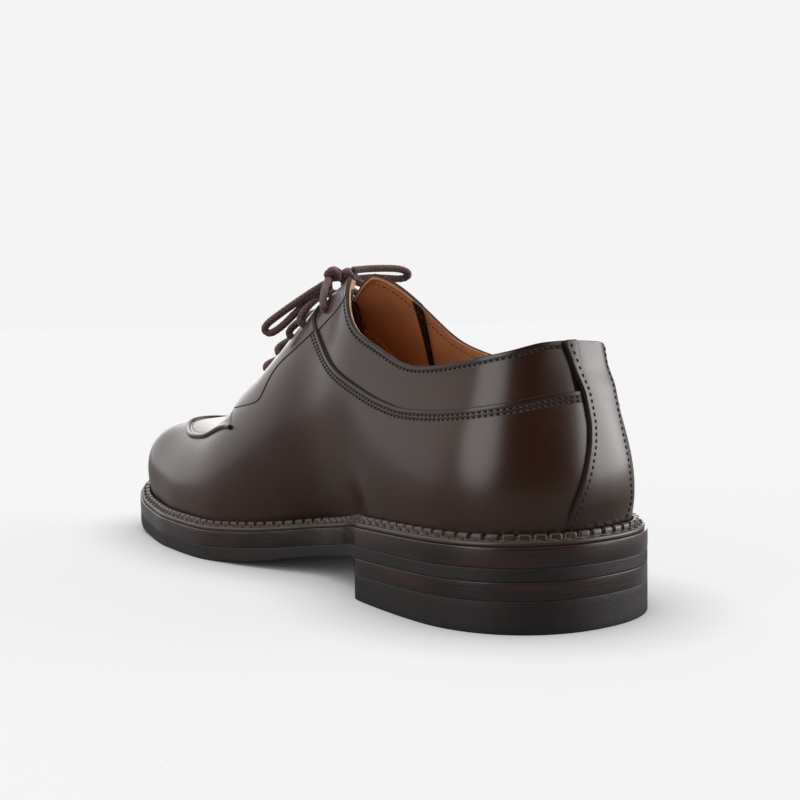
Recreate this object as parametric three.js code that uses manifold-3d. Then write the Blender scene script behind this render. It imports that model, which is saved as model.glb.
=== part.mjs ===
// A right derby shoe with an apron front, a storm welt all round and a stacked heel, in millimetres.
// The toe points to -Y, the inner side of the foot is +X, and the shoe stands on Z = 0.
import * as THREE from "three";
import { mergeVertices } from "three/addons/utils/BufferGeometryUtils.js";
import Module from "manifold-3d";

const wasm = await Module();
wasm.setup();

// Driving sizes of the sole.
const OUTSOLE_LENGTH = 296;
const BALL_WIDTH = 100;
const HEEL_HEIGHT = 16.4;
const TOE_SPRING = 8.6;
const OUTSOLE_THICKNESS = 5.8;
const HEEL_SEAT_THICKNESS = 4.4;
const MIDSOLE_THICKNESS = 5.8;
const LIFT_THICKNESS = 5.4;
const HEEL_BREAST = 85;
const LAYER_GAP = 0.3;

// Driving sizes of the welt.
const WELT_INSET = 0.9;
const WELT_FLAT = 1.5;
const WELT_LIP_HEIGHT = 3.6;
const WELT_LIP_WIDTH = 1.9;

// Driving sizes of the upper.
const UPPER_INSET = 5;
const UPPER_RISE = 95;
const APRON_BEAD_WIDTH = 2.6;
const TAB_BULGE = 1.2;
const TAB_REACH = { back: 0.57, front: 0.725, half: 0.32, backBlend: 20, frontBlend: 5, sideBlend: 12 };

// How far each layer of the upper lies from the side panels' outside.
const WALL = 1.9;
const VAMP_OFFSET = -1;
const FACING_OFFSET = -0.6;
const APRON_OFFSET = 0.2;
const BEAD_OFFSET = 0.8;
const STRIP_OFFSET = 0.7;

// Driving sizes of what is inside and on top.
const INSOLE_THICKNESS = 2.6;
const TONGUE_THICKNESS = 2.4;
const TONGUE_CLEARANCE = 1.1;
const LACE = 2.6;
const LACE_CLEARANCE = 0.9;
const EYELET_HOLE = 4.4;
const EYELET_SETBACK = 7.5;
const FIT_GAP = 0.3;

// How finely the surfaces are divided.
const AROUND = 44;
const UP = 9;
const LACE_SIDES = 6;
const SLIVER = 0.1;
const FOOT_DROP = 8;
const TONGUE_ROWS = 14;

// Half widths of the sole on each side, as shares of the ball width, at shares of the length from the back.
const SOLE_OUTLINE = [
  { along: 0.0, inner: 0.42, outer: 0.42 },
  { along: 0.15, inner: 0.418, outer: 0.418 },
  { along: 0.27, inner: 0.388, outer: 0.4 },
  { along: 0.35, inner: 0.3, outer: 0.375 },
  { along: 0.42, inner: 0.268, outer: 0.378 },
  { along: 0.5, inner: 0.335, outer: 0.44 },
  { along: 0.57, inner: 0.395, outer: 0.52 },
  { along: 0.65, inner: 0.432, outer: 0.572 },
  { along: 0.75, inner: 0.412, outer: 0.56 },
  { along: 0.87, inner: 0.338, outer: 0.46 },
  { along: 1.0, inner: 0.29, outer: 0.36 },
];
const HEEL_ROUND = { share: 0.152, power: 2.2 };
const TOE_ROUND = { share: 0.16, power: 2.4 };

// The outsole's underside, as shares of the heel's height and of the toe spring, and how far its
// thickness has grown from the heel seat's to the forefoot's.
const SOLE_PROFILE = [
  { along: 0.0, heel: 1.0, spring: 0.0, fore: 0.0 },
  { along: 0.29, heel: 0.872, spring: 0.0, fore: 0.0 },
  { along: 0.36, heel: 0.659, spring: 0.0, fore: 0.0 },
  { along: 0.45, heel: 0.39, spring: 0.0, fore: 0.15 },
  { along: 0.55, heel: 0.104, spring: 0.0, fore: 0.85 },
  { along: 0.64, heel: 0.0, spring: 0.0, fore: 1.0 },
  { along: 0.8, heel: 0.0, spring: 0.0, fore: 1.0 },
  { along: 0.88, heel: 0.0, spring: 0.14, fore: 1.0 },
  { along: 1.0, heel: 0.0, spring: 1.0, fore: 1.0 },
];

// The last: for a foot point at a share of the length, where its profile ends above. Along is a share of
// the length, across a share of the ball width from the crest, rise a share of the upper's rise.
const LAST_TOP = [
  { foot: 0.0, along: 0.048, across: 0.0, rise: 0.82 },
  { foot: 0.04, along: 0.055, across: 0.12, rise: 0.82 },
  { foot: 0.13, along: 0.105, across: 0.235, rise: 0.82 },
  { foot: 0.22, along: 0.2, across: 0.265, rise: 0.84 },
  { foot: 0.3, along: 0.3, across: 0.235, rise: 0.94 },
  { foot: 0.37, along: 0.37, across: 0.17, rise: 1.06 },
  { foot: 0.42, along: 0.42, across: 0.0, rise: 1.075 },
  { foot: 0.455, along: 0.455, across: 0.0, rise: 1.03 },
  { foot: 0.5, along: 0.5, across: 0.0, rise: 0.94 },
  { foot: 0.54, along: 0.54, across: 0.0, rise: 0.861 },
  { foot: 0.58, along: 0.58, across: 0.0, rise: 0.782 },
  { foot: 0.65, along: 0.65, across: 0.0, rise: 0.632 },
  { foot: 0.7, along: 0.7, across: 0.0, rise: 0.52 },
  { foot: 0.77, along: 0.77, across: 0.0, rise: 0.462 },
  { foot: 0.84, along: 0.84, across: 0.0, rise: 0.425 },
  { foot: 0.91, along: 0.88, across: 0.0, rise: 0.403 },
  { foot: 1.0, along: 0.88, across: 0.0, rise: 0.403 },
];

// How the profiles bulge: the handle at the foot goes out and up, the handle at the top out and down.
// Out is a share of the ball width and up and down are shares of the rise.
const INNER_BULGE = [
  { foot: 0.0, out: 0.05, up: 0.27, topOut: -0.02, topDown: 0.3 },
  { foot: 0.13, out: 0.055, up: 0.27, topOut: -0.01, topDown: 0.3 },
  { foot: 0.22, out: 0.04, up: 0.27, topOut: 0.01, topDown: 0.3 },
  { foot: 0.3, out: 0.06, up: 0.24, topOut: 0.05, topDown: 0.34 },
  { foot: 0.38, out: 0.13, up: 0.26, topOut: 0.17, topDown: 0.36 },
  { foot: 0.44, out: 0.15, up: 0.26, topOut: 0.3, topDown: 0.22 },
  { foot: 0.5, out: 0.11, up: 0.28, topOut: 0.32, topDown: 0.13 },
  { foot: 0.57, out: 0.065, up: 0.28, topOut: 0.33, topDown: 0.09 },
  { foot: 0.65, out: 0.05, up: 0.24, topOut: 0.32, topDown: 0.04 },
  { foot: 0.75, out: 0.055, up: 0.22, topOut: 0.26, topDown: 0.02 },
  { foot: 0.84, out: 0.055, up: 0.22, topOut: 0.24, topDown: 0.01 },
  { foot: 0.92, out: 0.05, up: 0.22, topOut: 0.22, topDown: 0.0 },
  { foot: 1.0, out: 0.035, up: 0.22, topOut: 0.2, topDown: 0.0 },
];
const OUTER_BULGE = [
  { foot: 0.0, out: 0.05, up: 0.27, topOut: -0.02, topDown: 0.3 },
  { foot: 0.13, out: 0.05, up: 0.27, topOut: -0.01, topDown: 0.3 },
  { foot: 0.22, out: 0.035, up: 0.26, topOut: 0.01, topDown: 0.3 },
  { foot: 0.3, out: 0.04, up: 0.24, topOut: 0.06, topDown: 0.34 },
  { foot: 0.38, out: 0.06, up: 0.24, topOut: 0.2, topDown: 0.36 },
  { foot: 0.44, out: 0.06, up: 0.24, topOut: 0.32, topDown: 0.22 },
  { foot: 0.5, out: 0.05, up: 0.24, topOut: 0.36, topDown: 0.15 },
  { foot: 0.57, out: 0.035, up: 0.23, topOut: 0.38, topDown: 0.11 },
  { foot: 0.65, out: 0.03, up: 0.21, topOut: 0.37, topDown: 0.06 },
  { foot: 0.75, out: 0.03, up: 0.2, topOut: 0.33, topDown: 0.03 },
  { foot: 0.84, out: 0.035, up: 0.2, topOut: 0.29, topDown: 0.01 },
  { foot: 0.92, out: 0.04, up: 0.21, topOut: 0.24, topDown: 0.0 },
  { foot: 1.0, out: 0.035, up: 0.22, topOut: 0.2, topDown: 0.0 },
];

// The instep's crest lies to the inner side at the ankle and to the outer side at the ball.
const CREST = [
  { along: 0.0, across: 0.0 },
  { along: 0.25, across: 0.01 },
  { along: 0.38, across: 0.035 },
  { along: 0.45, across: 0.04 },
  { along: 0.52, across: 0.02 },
  { along: 0.6, across: -0.01 },
  { along: 0.7, across: -0.035 },
  { along: 0.8, across: -0.035 },
  { along: 0.88, across: -0.015 },
  { along: 1.0, across: 0.0 },
];

// Edges seen from the side: height above the floor as a share of the upper's rise.
const TOPLINE = [
  { along: -0.02, inner: 0.957, outer: 0.957 },
  { along: 0.036, inner: 0.95, outer: 0.95 },
  { along: 0.06, inner: 0.93, outer: 0.925 },
  { along: 0.088, inner: 0.909, outer: 0.899 },
  { along: 0.145, inner: 0.878, outer: 0.86 },
  { along: 0.18, inner: 0.864, outer: 0.845 },
  { along: 0.22, inner: 0.863, outer: 0.841 },
  { along: 0.25, inner: 0.886, outer: 0.853 },
  { along: 0.29, inner: 0.94, outer: 0.88 },
  { along: 0.32, inner: 0.992, outer: 0.907 },
  { along: 0.35, inner: 1.06, outer: 0.94 },
  { along: 0.37, inner: 1.12, outer: 0.98 },
  { along: 0.385, inner: 1.163, outer: 1.03 },
  { along: 0.395, inner: 1.18, outer: 1.13 },
  { along: 0.402, inner: 1.188, outer: 1.19 },
  { along: 0.415, inner: 1.193, outer: 1.212 },
  { along: 0.44, inner: 1.193, outer: 1.214 },
];
const LAP_LINE = [
  { along: -0.02, inner: 0.79, outer: 0.785 },
  { along: 0.036, inner: 0.784, outer: 0.778 },
  { along: 0.052, inner: 0.764, outer: 0.755 },
  { along: 0.078, inner: 0.741, outer: 0.73 },
  { along: 0.115, inner: 0.727, outer: 0.712 },
  { along: 0.167, inner: 0.706, outer: 0.688 },
  { along: 0.208, inner: 0.709, outer: 0.686 },
  { along: 0.262, inner: 0.733, outer: 0.706 },
  { along: 0.321, inner: 0.778, outer: 0.748 },
  { along: 0.363, inner: 0.86, outer: 0.82 },
  { along: 0.428, inner: 0.954, outer: 0.925 },
  { along: 0.472, inner: 1.083, outer: 1.06 },
  { along: 0.485, inner: 1.2, outer: 1.18 },
];
const FACING_LINE = [
  { along: 0.36, inner: 1.12, outer: 1.1 },
  { along: 0.433, inner: 1.006, outer: 0.985 },
  { along: 0.446, inner: 0.979, outer: 0.958 },
  { along: 0.473, inner: 0.912, outer: 0.892 },
  { along: 0.501, inner: 0.857, outer: 0.838 },
  { along: 0.525, inner: 0.816, outer: 0.797 },
  { along: 0.533, inner: 0.775, outer: 0.757 },
  { along: 0.539, inner: 0.705, outer: 0.688 },
  { along: 0.565, inner: 0.684, outer: 0.668 },
  { along: 0.603, inner: 0.662, outer: 0.648 },
  { along: 0.72, inner: 0.6, outer: 0.59 },
];

// Half width of the back strip as a share of the ball width, by height as a share of the upper's rise.
const STRIP_HALF_WIDTHS = [
  { height: 0.2, half: 0.135 },
  { height: 0.34, half: 0.112 },
  { height: 0.48, half: 0.08 },
  { height: 0.6, half: 0.068 },
  { height: 0.75, half: 0.066 },
  { height: 0.88, half: 0.082 },
  { height: 1.1, half: 0.125 },
];

// Outlines seen from above, as a distance from the crest in shares of the ball width.
const APRON = [
  { along: 0.6, across: 0.342 },
  { along: 0.65, across: 0.33 },
  { along: 0.7, across: 0.31 },
  { along: 0.745, across: 0.285 },
  { along: 0.79, across: 0.256 },
  { along: 0.822, across: 0.218 },
  { along: 0.853, across: 0.16 },
  { along: 0.877, across: 0.085 },
  { along: 0.886, across: 0.0 },
];
const TAB_FRONT = [
  { along: 0.6, across: 0.342 },
  { along: 0.608, across: 0.315 },
  { along: 0.614, across: 0.278 },
  { along: 0.627, across: 0.23 },
  { along: 0.645, across: 0.18 },
  { along: 0.66, across: 0.125 },
  { along: 0.667, across: 0.06 },
];
const THROAT = [
  { along: 0.38, half: 0.05 },
  { along: 0.43, half: 0.05 },
  { along: 0.5, half: 0.056 },
  { along: 0.6, half: 0.05 },
  { along: 0.66, half: 0.036 },
  { along: 0.72, half: 0.032 },
];
const THROAT_START = 0.38;
const THROAT_END = 0.645;
const EYELETS_ALONG = [0.468, 0.503, 0.54, 0.577, 0.614];

// Half widths of the tongue, and between which distances from the crest it drops under the facings, as
// shares of the ball width.
const TONGUE = [
  { along: 0.44, half: 0.15 },
  { along: 0.446, half: 0.19 },
  { along: 0.46, half: 0.22 },
  { along: 0.5, half: 0.25 },
  { along: 0.56, half: 0.24 },
  { along: 0.62, half: 0.21 },
  { along: 0.7, half: 0.18 },
];
const TONGUE_CREASE = { inside: 0.08, outside: 0.108 };

// The lace's free stretches, point by point in millimetres, as the bow lies.
const BOW = {
  lace_loop_inner: [
    [9.2, 5.2, 111.2],
    [12, 3.4, 109.2],
    [15, 1.8, 107.1],
    [19, -2.2, 103.5],
    [23, -6.3, 99.7],
    [26, -10.3, 96.2],
    [26.7, -12.2, 93.6],
    [25, -10.4, 92.2],
    [22, -6.7, 94.9],
    [18.5, -3.2, 99.4],
    [14.5, -0.5, 103.8],
    [10.4, 1.2, 107.6],
    [7.6, 2.8, 109.8],
  ],
  lace_loop_outer: [
    [-2.6, 7.4, 116.6],
    [-7, 7.4, 117],
    [-11, 7.6, 117.3],
    [-18, 8.9, 117.5],
    [-24, 10, 117.2],
    [-27.6, 10.6, 115.8],
    [-28, 9.6, 114.2],
    [-25.5, 8.2, 113.4],
    [-20, 7, 113.6],
    [-13, 6.6, 113.8],
    [-7, 6, 113.4],
    [-3.4, 6.2, 113],
  ],
  lace_end_inner: [
    [4.6, 1.4, 112.8],
    [1.5, -3.5, 110.4],
    [-4.5, -9.5, 104.8],
    [-11, -15, 97.6],
    [-17, -20, 89.8],
    [-22, -24, 83],
    [-26, -27.5, 76.8],
  ],
  lace_end_outer: [
    [-1.4, 2.6, 111.2],
    [-5.5, 1.2, 109.4],
    [-10.5, 1.8, 106.4],
    [-15.5, 2.4, 102],
    [-20, 3, 96.2],
    [-24, 3, 89.6],
    [-27.6, 2.5, 83],
    [-30.4, 2, 77],
  ],
};
const KNOT = [
  { x: 6.2, y: 6.2, z: 115.2, wide: 3.4, deep: 3.2, high: 2.9 },
  { x: 1, y: 7.2, z: 114, wide: 3, deep: 3.2, high: 3.5 },
];
const KNOT_SIDES = 10;

const material = (color, roughness) =>
  new THREE.MeshStandardMaterial({ color, roughness, metalness: 0 });
const UPPER_LEATHER = material(0x46332b, 0.35);
const LINING_LEATHER = material(0x96602f, 0.7);
const SOLE_LEATHER = material(0x2c1a17, 0.3);
const HEEL_LEATHER = material(0x3a2320, 0.35);
const SOLE_RUBBER = material(0x2f2b29, 0.6);
const WELT_LEATHER = material(0x33241f, 0.5);
const LACE_CORD = material(0x4a3634, 0.8);

// A smooth curve through a table's rows that never overshoots them, from one column to another.
function monotone(rows, from, to) {
  const xs = rows.map((row) => row[from]);
  const ys = rows.map((row) => row[to]);
  const last = xs.length - 1;
  const step = xs.slice(1).map((x, i) => x - xs[i]);
  const slope = step.map((h, i) => (ys[i + 1] - ys[i]) / h);
  const tangent = xs.map((_, i) => {
    if (i === 0) return slope[0];
    if (i === last) return slope[last - 1];
    if (slope[i - 1] * slope[i] <= 0) return 0;
    const before = 2 * step[i] + step[i - 1];
    const after = step[i] + 2 * step[i - 1];
    return (before + after) / (before / slope[i - 1] + after / slope[i]);
  });
  return (value) => {
    const x = Math.min(Math.max(value, xs[0]), xs[last]);
    let i = 0;
    while (i < last - 1 && x > xs[i + 1]) i += 1;
    const t = (x - xs[i]) / step[i];
    const start = ys[i] * (1 + 2 * t) * (1 - t) ** 2 + step[i] * tangent[i] * t * (1 - t) ** 2;
    const end = ys[i + 1] * t * t * (3 - 2 * t) - step[i] * tangent[i + 1] * t * t * (1 - t);
    return start + end;
  };
}

const clamp = (x, low, high) => Math.min(Math.max(x, low), high);
const smooth = (x) => {
  const t = clamp(x, 0, 1);
  return t * t * (3 - 2 * t);
};

const alongOf = (y) => (OUTSOLE_LENGTH / 2 - y) / OUTSOLE_LENGTH;
const yOf = (along) => OUTSOLE_LENGTH / 2 - along * OUTSOLE_LENGTH;

const innerHalf = monotone(SOLE_OUTLINE, "along", "inner");
const outerHalf = monotone(SOLE_OUTLINE, "along", "outer");
const heelShare = monotone(SOLE_PROFILE, "along", "heel");
const springShare = monotone(SOLE_PROFILE, "along", "spring");
const foreShare = monotone(SOLE_PROFILE, "along", "fore");
const crestShare = monotone(CREST, "along", "across");

const underside = (along) => HEEL_HEIGHT * heelShare(along) + TOE_SPRING * springShare(along);
const outsoleTop = (along) =>
  underside(along) +
  HEEL_SEAT_THICKNESS +
  (OUTSOLE_THICKNESS - HEEL_SEAT_THICKNESS) * foreShare(along);
const midsoleTop = (along) => outsoleTop(along) + LAYER_GAP + MIDSOLE_THICKNESS;
const crest = (along) => crestShare(along) * BALL_WIDTH;

// A point of the sole's outline in plan; side is 1 for the inner side and -1 for the outer side.
function outlinePoint(along, side) {
  const half = (side > 0 ? innerHalf(along) : outerHalf(along)) * BALL_WIDTH;
  const heel = clamp(1 - along / HEEL_ROUND.share, 0, 1);
  const toe = clamp((along - 1 + TOE_ROUND.share) / TOE_ROUND.share, 0, 1);
  const round =
    (1 - heel ** HEEL_ROUND.power) ** (1 / HEEL_ROUND.power) *
    (1 - toe ** TOE_ROUND.power) ** (1 / TOE_ROUND.power);
  return new THREE.Vector2(side * half * round, yOf(along));
}

// The way out of the outline, in plan.
function outlineNormal(along, side) {
  const reach = 1e-4;
  const before = outlinePoint(clamp(along - reach, 0, 1), side);
  const after = outlinePoint(clamp(along + reach, 0, 1), side);
  const travel = after.sub(before).normalize();
  return new THREE.Vector2(-travel.y * side, travel.x * side);
}

// Shares of the length from the back to a stop, close together at the round ends.
function stations(count, stop = 1) {
  return Array.from({ length: count + 1 }, (_, i) => {
    const t = i / count;
    return stop === 1 ? (1 - Math.cos(Math.PI * t)) / 2 : stop * (1 - Math.cos((Math.PI / 2) * t));
  });
}

// The outline moved in by an inset: its back point, inner side, and outer side, as matched pairs.
function pairedOutline(alongs, inset) {
  return alongs.map((along) =>
    [1, -1].map((side) => {
      const point = outlinePoint(along, side);
      return point.addScaledVector(outlineNormal(along, side), -inset);
    }),
  );
}

function meshFrom(points, faces) {
  const geometry = new THREE.BufferGeometry();
  const position = new Float32Array(faces.flat().flatMap((i) => points[i].toArray()));
  geometry.setAttribute("position", new THREE.BufferAttribute(position, 3));
  return geometry;
}

// A geometry as a solid, with shared corners merged and collapsed faces dropped.
function solidOf(geometry) {
  const bare = new THREE.BufferGeometry();
  bare.setAttribute("position", geometry.getAttribute("position"));
  if (geometry.index) bare.setIndex(geometry.index);
  const merged = mergeVertices(bare, 1e-3);
  const index = merged.index.array;
  const kept = [];
  for (let i = 0; i < index.length; i += 3) {
    const [a, b, c] = [index[i], index[i + 1], index[i + 2]];
    if (a !== b && b !== c && c !== a) kept.push(a, b, c);
  }
  const mesh = new wasm.Mesh({
    numProp: 3,
    vertProperties: merged.attributes.position.array,
    triVerts: new Uint32Array(kept),
  });
  return new wasm.Manifold(mesh);
}

// A cut can leave slivers and crumbs of no volume beside the body that is meant.
function mainBody(solid) {
  const bodies = solid.simplify(SLIVER).decompose();
  return bodies.reduce((best, body) => (body.volume() > best.volume() ? body : best));
}

function geometryOf(solid) {
  const mesh = mainBody(solid).getMesh();
  const geometry = new THREE.BufferGeometry();
  geometry.setAttribute("position", new THREE.BufferAttribute(mesh.vertProperties, 3));
  geometry.setIndex(new THREE.BufferAttribute(mesh.triVerts, 1));
  geometry.computeVertexNormals();
  return geometry;
}

// A slab between two heights, inside the outline moved in by an inset, from the back to a stop.
function slab(inset, low, high, stop = 1, count = AROUND) {
  const alongs = stations(count, stop);
  const pairs = pairedOutline(alongs, inset);
  const points = [];
  pairs.forEach(([inner, outer]) => {
    for (const at of [inner, outer]) {
      const along = alongOf(at.y);
      points.push(new THREE.Vector3(at.x, at.y, low(along)));
      points.push(new THREE.Vector3(at.x, at.y, high(along)));
    }
  });
  const faces = [];
  const quad = (a, b, c, d) => faces.push([a, c, b], [a, d, c]);
  for (let i = 0; i < count; i += 1) {
    const a = 4 * i;
    const b = a + 4;
    quad(a, b, b + 1, a + 1);
    quad(a + 2, a + 3, b + 3, b + 2);
    quad(a + 1, b + 1, b + 3, a + 3);
    quad(a, a + 2, b + 2, b);
  }
  const end = 4 * count;
  quad(0, 1, 3, 2);
  quad(end, end + 2, end + 3, end + 1);
  return solidOf(meshFrom(points, faces));
}

const heelStop = HEEL_BREAST / OUTSOLE_LENGTH;
const liftUnder = (along) => underside(along) - LAYER_GAP - LIFT_THICKNESS;

const outsole = slab(0, underside, outsoleTop);
const midsole = slab(0, (along) => outsoleTop(along) + LAYER_GAP, midsoleTop);
const heelLift = slab(0, liftUnder, (along) => underside(along) - LAYER_GAP, heelStop);
const topPiece = slab(0, () => 0, (along) => liftUnder(along) - LAYER_GAP, heelStop);

// A storm welt: a flat ledge on the midsole with a lip that stands against the upper.
const weltBase = (along) => midsoleTop(along) + LAYER_GAP;
const lipOuter = UPPER_INSET - FIT_GAP - WELT_LIP_WIDTH;
const weltInner = UPPER_INSET - FIT_GAP;
const footHeight = (along) => weltBase(along) + WELT_LIP_HEIGHT + FIT_GAP;
const weltFlat = slab(WELT_INSET, weltBase, (along) => weltBase(along) + WELT_FLAT);
const weltLip = slab(lipOuter, weltBase, (along) => weltBase(along) + WELT_LIP_HEIGHT);
const weltHole = slab(
  weltInner,
  (along) => weltBase(along) - 1,
  (along) => weltBase(along) + WELT_LIP_HEIGHT + 1,
);
const welt = weltFlat.add(weltLip).subtract(weltHole);

const lastAlong = monotone(LAST_TOP, "foot", "along");
const lastAcross = monotone(LAST_TOP, "foot", "across");
const lastRise = monotone(LAST_TOP, "foot", "rise");
const columns = ["out", "up", "topOut", "topDown"];
const bulges = new Map(
  [[1, INNER_BULGE], [-1, OUTER_BULGE]].map(([side, rows]) => [
    side,
    Object.fromEntries(columns.map((column) => [column, monotone(rows, "foot", column)])),
  ]),
);

function lastTop(foot, side) {
  const along = lastAlong(foot);
  return new THREE.Vector3(
    crest(along) + side * lastAcross(foot) * BALL_WIDTH,
    yOf(along),
    midsoleTop(along) + lastRise(foot) * UPPER_RISE,
  );
}

// A point of the upper's own surface: foot runs from the back to the toe, up from the welt to the top.
function lastPoint(foot, side, up) {
  const bulge = bulges.get(side);
  const normal = outlineNormal(foot, side);
  const plan = outlinePoint(foot, side).addScaledVector(normal, -UPPER_INSET);
  const start = new THREE.Vector3(plan.x, plan.y, footHeight(alongOf(plan.y)));
  const end = lastTop(foot, side);
  const out = bulge.out(foot) * BALL_WIDTH;
  const rise = bulge.up(foot) * UPPER_RISE;
  const footHandle = start.clone().add(new THREE.Vector3(normal.x * out, normal.y * out, rise));
  const away = new THREE.Vector3(start.x - end.x, start.y - end.y, 0).normalize();
  const topHandle = end.clone().addScaledVector(away, bulge.topOut(foot) * BALL_WIDTH);
  topHandle.z -= bulge.topDown(foot) * UPPER_RISE;
  return new THREE.CubicBezierCurve3(start, footHandle, topHandle, end).getPoint(up);
}

const onCrest = (foot, up) => up > 0.999 && lastAcross(foot) < 1e-6;

// The way out of the upper's surface. On the crest both sides share it, so that it lies in the middle plane.
function lastNormal(foot, side, up) {
  const reach = 1e-3;
  if (onCrest(foot, up)) {
    const along = lastAlong(foot);
    const z = (at) => midsoleTop(at) + crestRise(at) * UPPER_RISE;
    const slope = (z(along + reach) - z(along - reach)) / (yOf(along + reach) - yOf(along - reach));
    return new THREE.Vector3(0, -slope, 1).normalize();
  }
  const u = clamp(up, reach, 1 - 15 * reach);
  const low = clamp(foot - reach, 0, 1);
  const high = clamp(foot + reach, 0, 1);
  const travel = lastPoint(high, side, u).sub(lastPoint(low, side, u));
  const climb = lastPoint(foot, side, u + reach).sub(lastPoint(foot, side, u - reach));
  return climb.cross(travel).multiplyScalar(side).normalize();
}
const crestRows = LAST_TOP.filter((row) => row.across === 0 && row.foot > 0 && row.foot < 1);
const crestRise = monotone(crestRows, "along", "rise");

function raisedPoint(foot, side, up, offset) {
  const base = lastPoint(foot, side, up);
  const amount = typeof offset === "function" ? offset(base) : offset;
  return base.addScaledVector(lastNormal(foot, side, up), amount);
}

// The space inside the upper's surface moved out by an offset. Below the lip of the welt it goes straight down.
function lastSolid(offset) {
  const feet = stations(AROUND);
  const ring = [];
  feet.forEach((foot) => ring.push([foot, 1]));
  feet
    .slice(1, -1)
    .reverse()
    .forEach((foot) => ring.push([foot, -1]));
  const ups = Array.from({ length: UP + 1 }, (_, j) => j / UP);
  const points = ring.map(([foot, side]) => {
    const point = raisedPoint(foot, side, 0, offset);
    return point.setZ(point.z - FOOT_DROP);
  });
  ups.forEach((up) => ring.forEach(([foot, side]) => points.push(raisedPoint(foot, side, up, offset))));
  const size = ring.length;
  const rows = points.length / size;
  const faces = [];
  const quad = (a, b, c, d) => faces.push([a, b, c], [a, c, d]);
  for (let j = 0; j < rows - 1; j += 1) {
    for (let i = 0; i < size; i += 1) {
      const next = (i + 1) % size;
      quad(j * size + i, (j + 1) * size + i, (j + 1) * size + next, j * size + next);
    }
  }
  const top = (rows - 1) * size;
  for (let i = 0; i < AROUND; i += 1) {
    const twin = (size - i) % size;
    const nextTwin = size - i - 1;
    quad(i, i + 1, nextTwin, twin);
    quad(top + i, top + twin, top + nextTwin, top + i + 1);
  }
  return solidOf(meshFrom(points, faces));
}

// Cutters: an outline seen from the side, pushed across, and one seen from above, pushed up.
function acrossCutter(outline, from, to) {
  const shape = new THREE.Shape(outline.map(([y, z]) => new THREE.Vector2(y, z)));
  const geometry = new THREE.ExtrudeGeometry(shape, { depth: to - from, bevelEnabled: false, curveSegments: 1 });
  // The shape's plane is turned so that its x runs along Y, its y up and its depth across.
  geometry.applyMatrix4(new THREE.Matrix4().set(0, 0, 1, from, 1, 0, 0, 0, 0, 1, 0, 0, 0, 0, 0, 1));
  return solidOf(geometry);
}
function upCutter(outline, from, to) {
  const shape = new THREE.Shape(outline.map(([x, y]) => new THREE.Vector2(x, y)));
  const geometry = new THREE.ExtrudeGeometry(shape, { depth: to - from, bevelEnabled: false, curveSegments: 1 });
  geometry.translate(0, 0, from);
  return solidOf(geometry);
}

const CLEAR = 90;
const STRIP_FOOT = footHeight(0);
const SKY = 2 * UPPER_RISE;

// Everything above a line seen from the side, on one side of the shoe.
function aboveLine(rows, side, count = 48) {
  const column = side > 0 ? "inner" : "outer";
  const height = monotone(rows, "along", column);
  const first = rows[0].along;
  const last = rows[rows.length - 1].along;
  const line = Array.from({ length: count + 1 }, (_, i) => {
    const along = first + ((last - first) * i) / count;
    return [yOf(along), height(along) * UPPER_RISE];
  });
  const outline = [[yOf(last), SKY], [yOf(first), SKY], ...line];
  return side > 0 ? acrossCutter(outline, 0, CLEAR) : acrossCutter(outline, -CLEAR, 0);
}

// A curve through rows seen from above, as points at a side of the crest.
function planCurve(rows, side, count) {
  const curve = new THREE.SplineCurve(
    rows.map((row) => new THREE.Vector2(side * row.across * BALL_WIDTH, yOf(row.along))),
  );
  return curve.getPoints(count).map((at) => [crest(alongOf(at.y)) + at.x, at.y]);
}

// The apron's edge from its inner end round the tip to its outer end, moved in by a margin.
function apronEdge(margin, count = 44) {
  const rows = [
    ...APRON.map((row) => [row.across, row.along]),
    ...APRON.slice(0, -1).map((row) => [-row.across, row.along]).reverse(),
  ];
  const curve = new THREE.SplineCurve(
    rows.map(([across, along]) => new THREE.Vector2(across * BALL_WIDTH, yOf(along))),
  );
  return Array.from({ length: count + 1 }, (_, i) => {
    const at = curve.getPoint(i / count);
    const travel = curve.getTangent(i / count);
    const x = at.x + travel.y * margin;
    const y = at.y - travel.x * margin;
    return [crest(alongOf(y)) + x, y];
  });
}
function apronOutline(margin) {
  const edge = apronEdge(margin);
  const tail = edge[0][1] + 9;
  return [[edge[0][0], tail], ...edge, [edge[edge.length - 1][0], tail]];
}

const throatShare = monotone(THROAT, "along", "half");
const throatHalf = (along) => throatShare(along) * BALL_WIDTH;
function throatOutline(stop) {
  const alongs = Array.from({ length: 11 }, (_, i) => THROAT_START + ((stop - THROAT_START) * i) / 10);
  const inner = alongs.map((along) => [crest(along) + throatHalf(along), yOf(along)]);
  const outer = alongs.map((along) => [crest(along) - throatHalf(along), yOf(along)]);
  return [...inner, ...outer.reverse()];
}

// The opening in the panels that the apron shows through, in front of the tabs.
function apronWindow() {
  const innerTab = planCurve(TAB_FRONT, 1, 10).reverse();
  const outerTab = planCurve(TAB_FRONT, -1, 10);
  return [...apronEdge(0), ...outerTab.slice(1), ...innerTab.slice(0, -1)];
}

// The quarters swell a little where their tabs lie over the apron.
function tabBulge(point) {
  const { back, front, half, backBlend, frontBlend, sideBlend } = TAB_REACH;
  const behind = smooth((yOf(back) - point.y) / backBlend);
  const before = smooth((point.y - yOf(front)) / frontBlend);
  const reach = half * BALL_WIDTH - Math.abs(point.x - crest(alongOf(point.y)));
  return TAB_BULGE * behind * before * smooth(reach / sideBlend);
}

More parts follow.
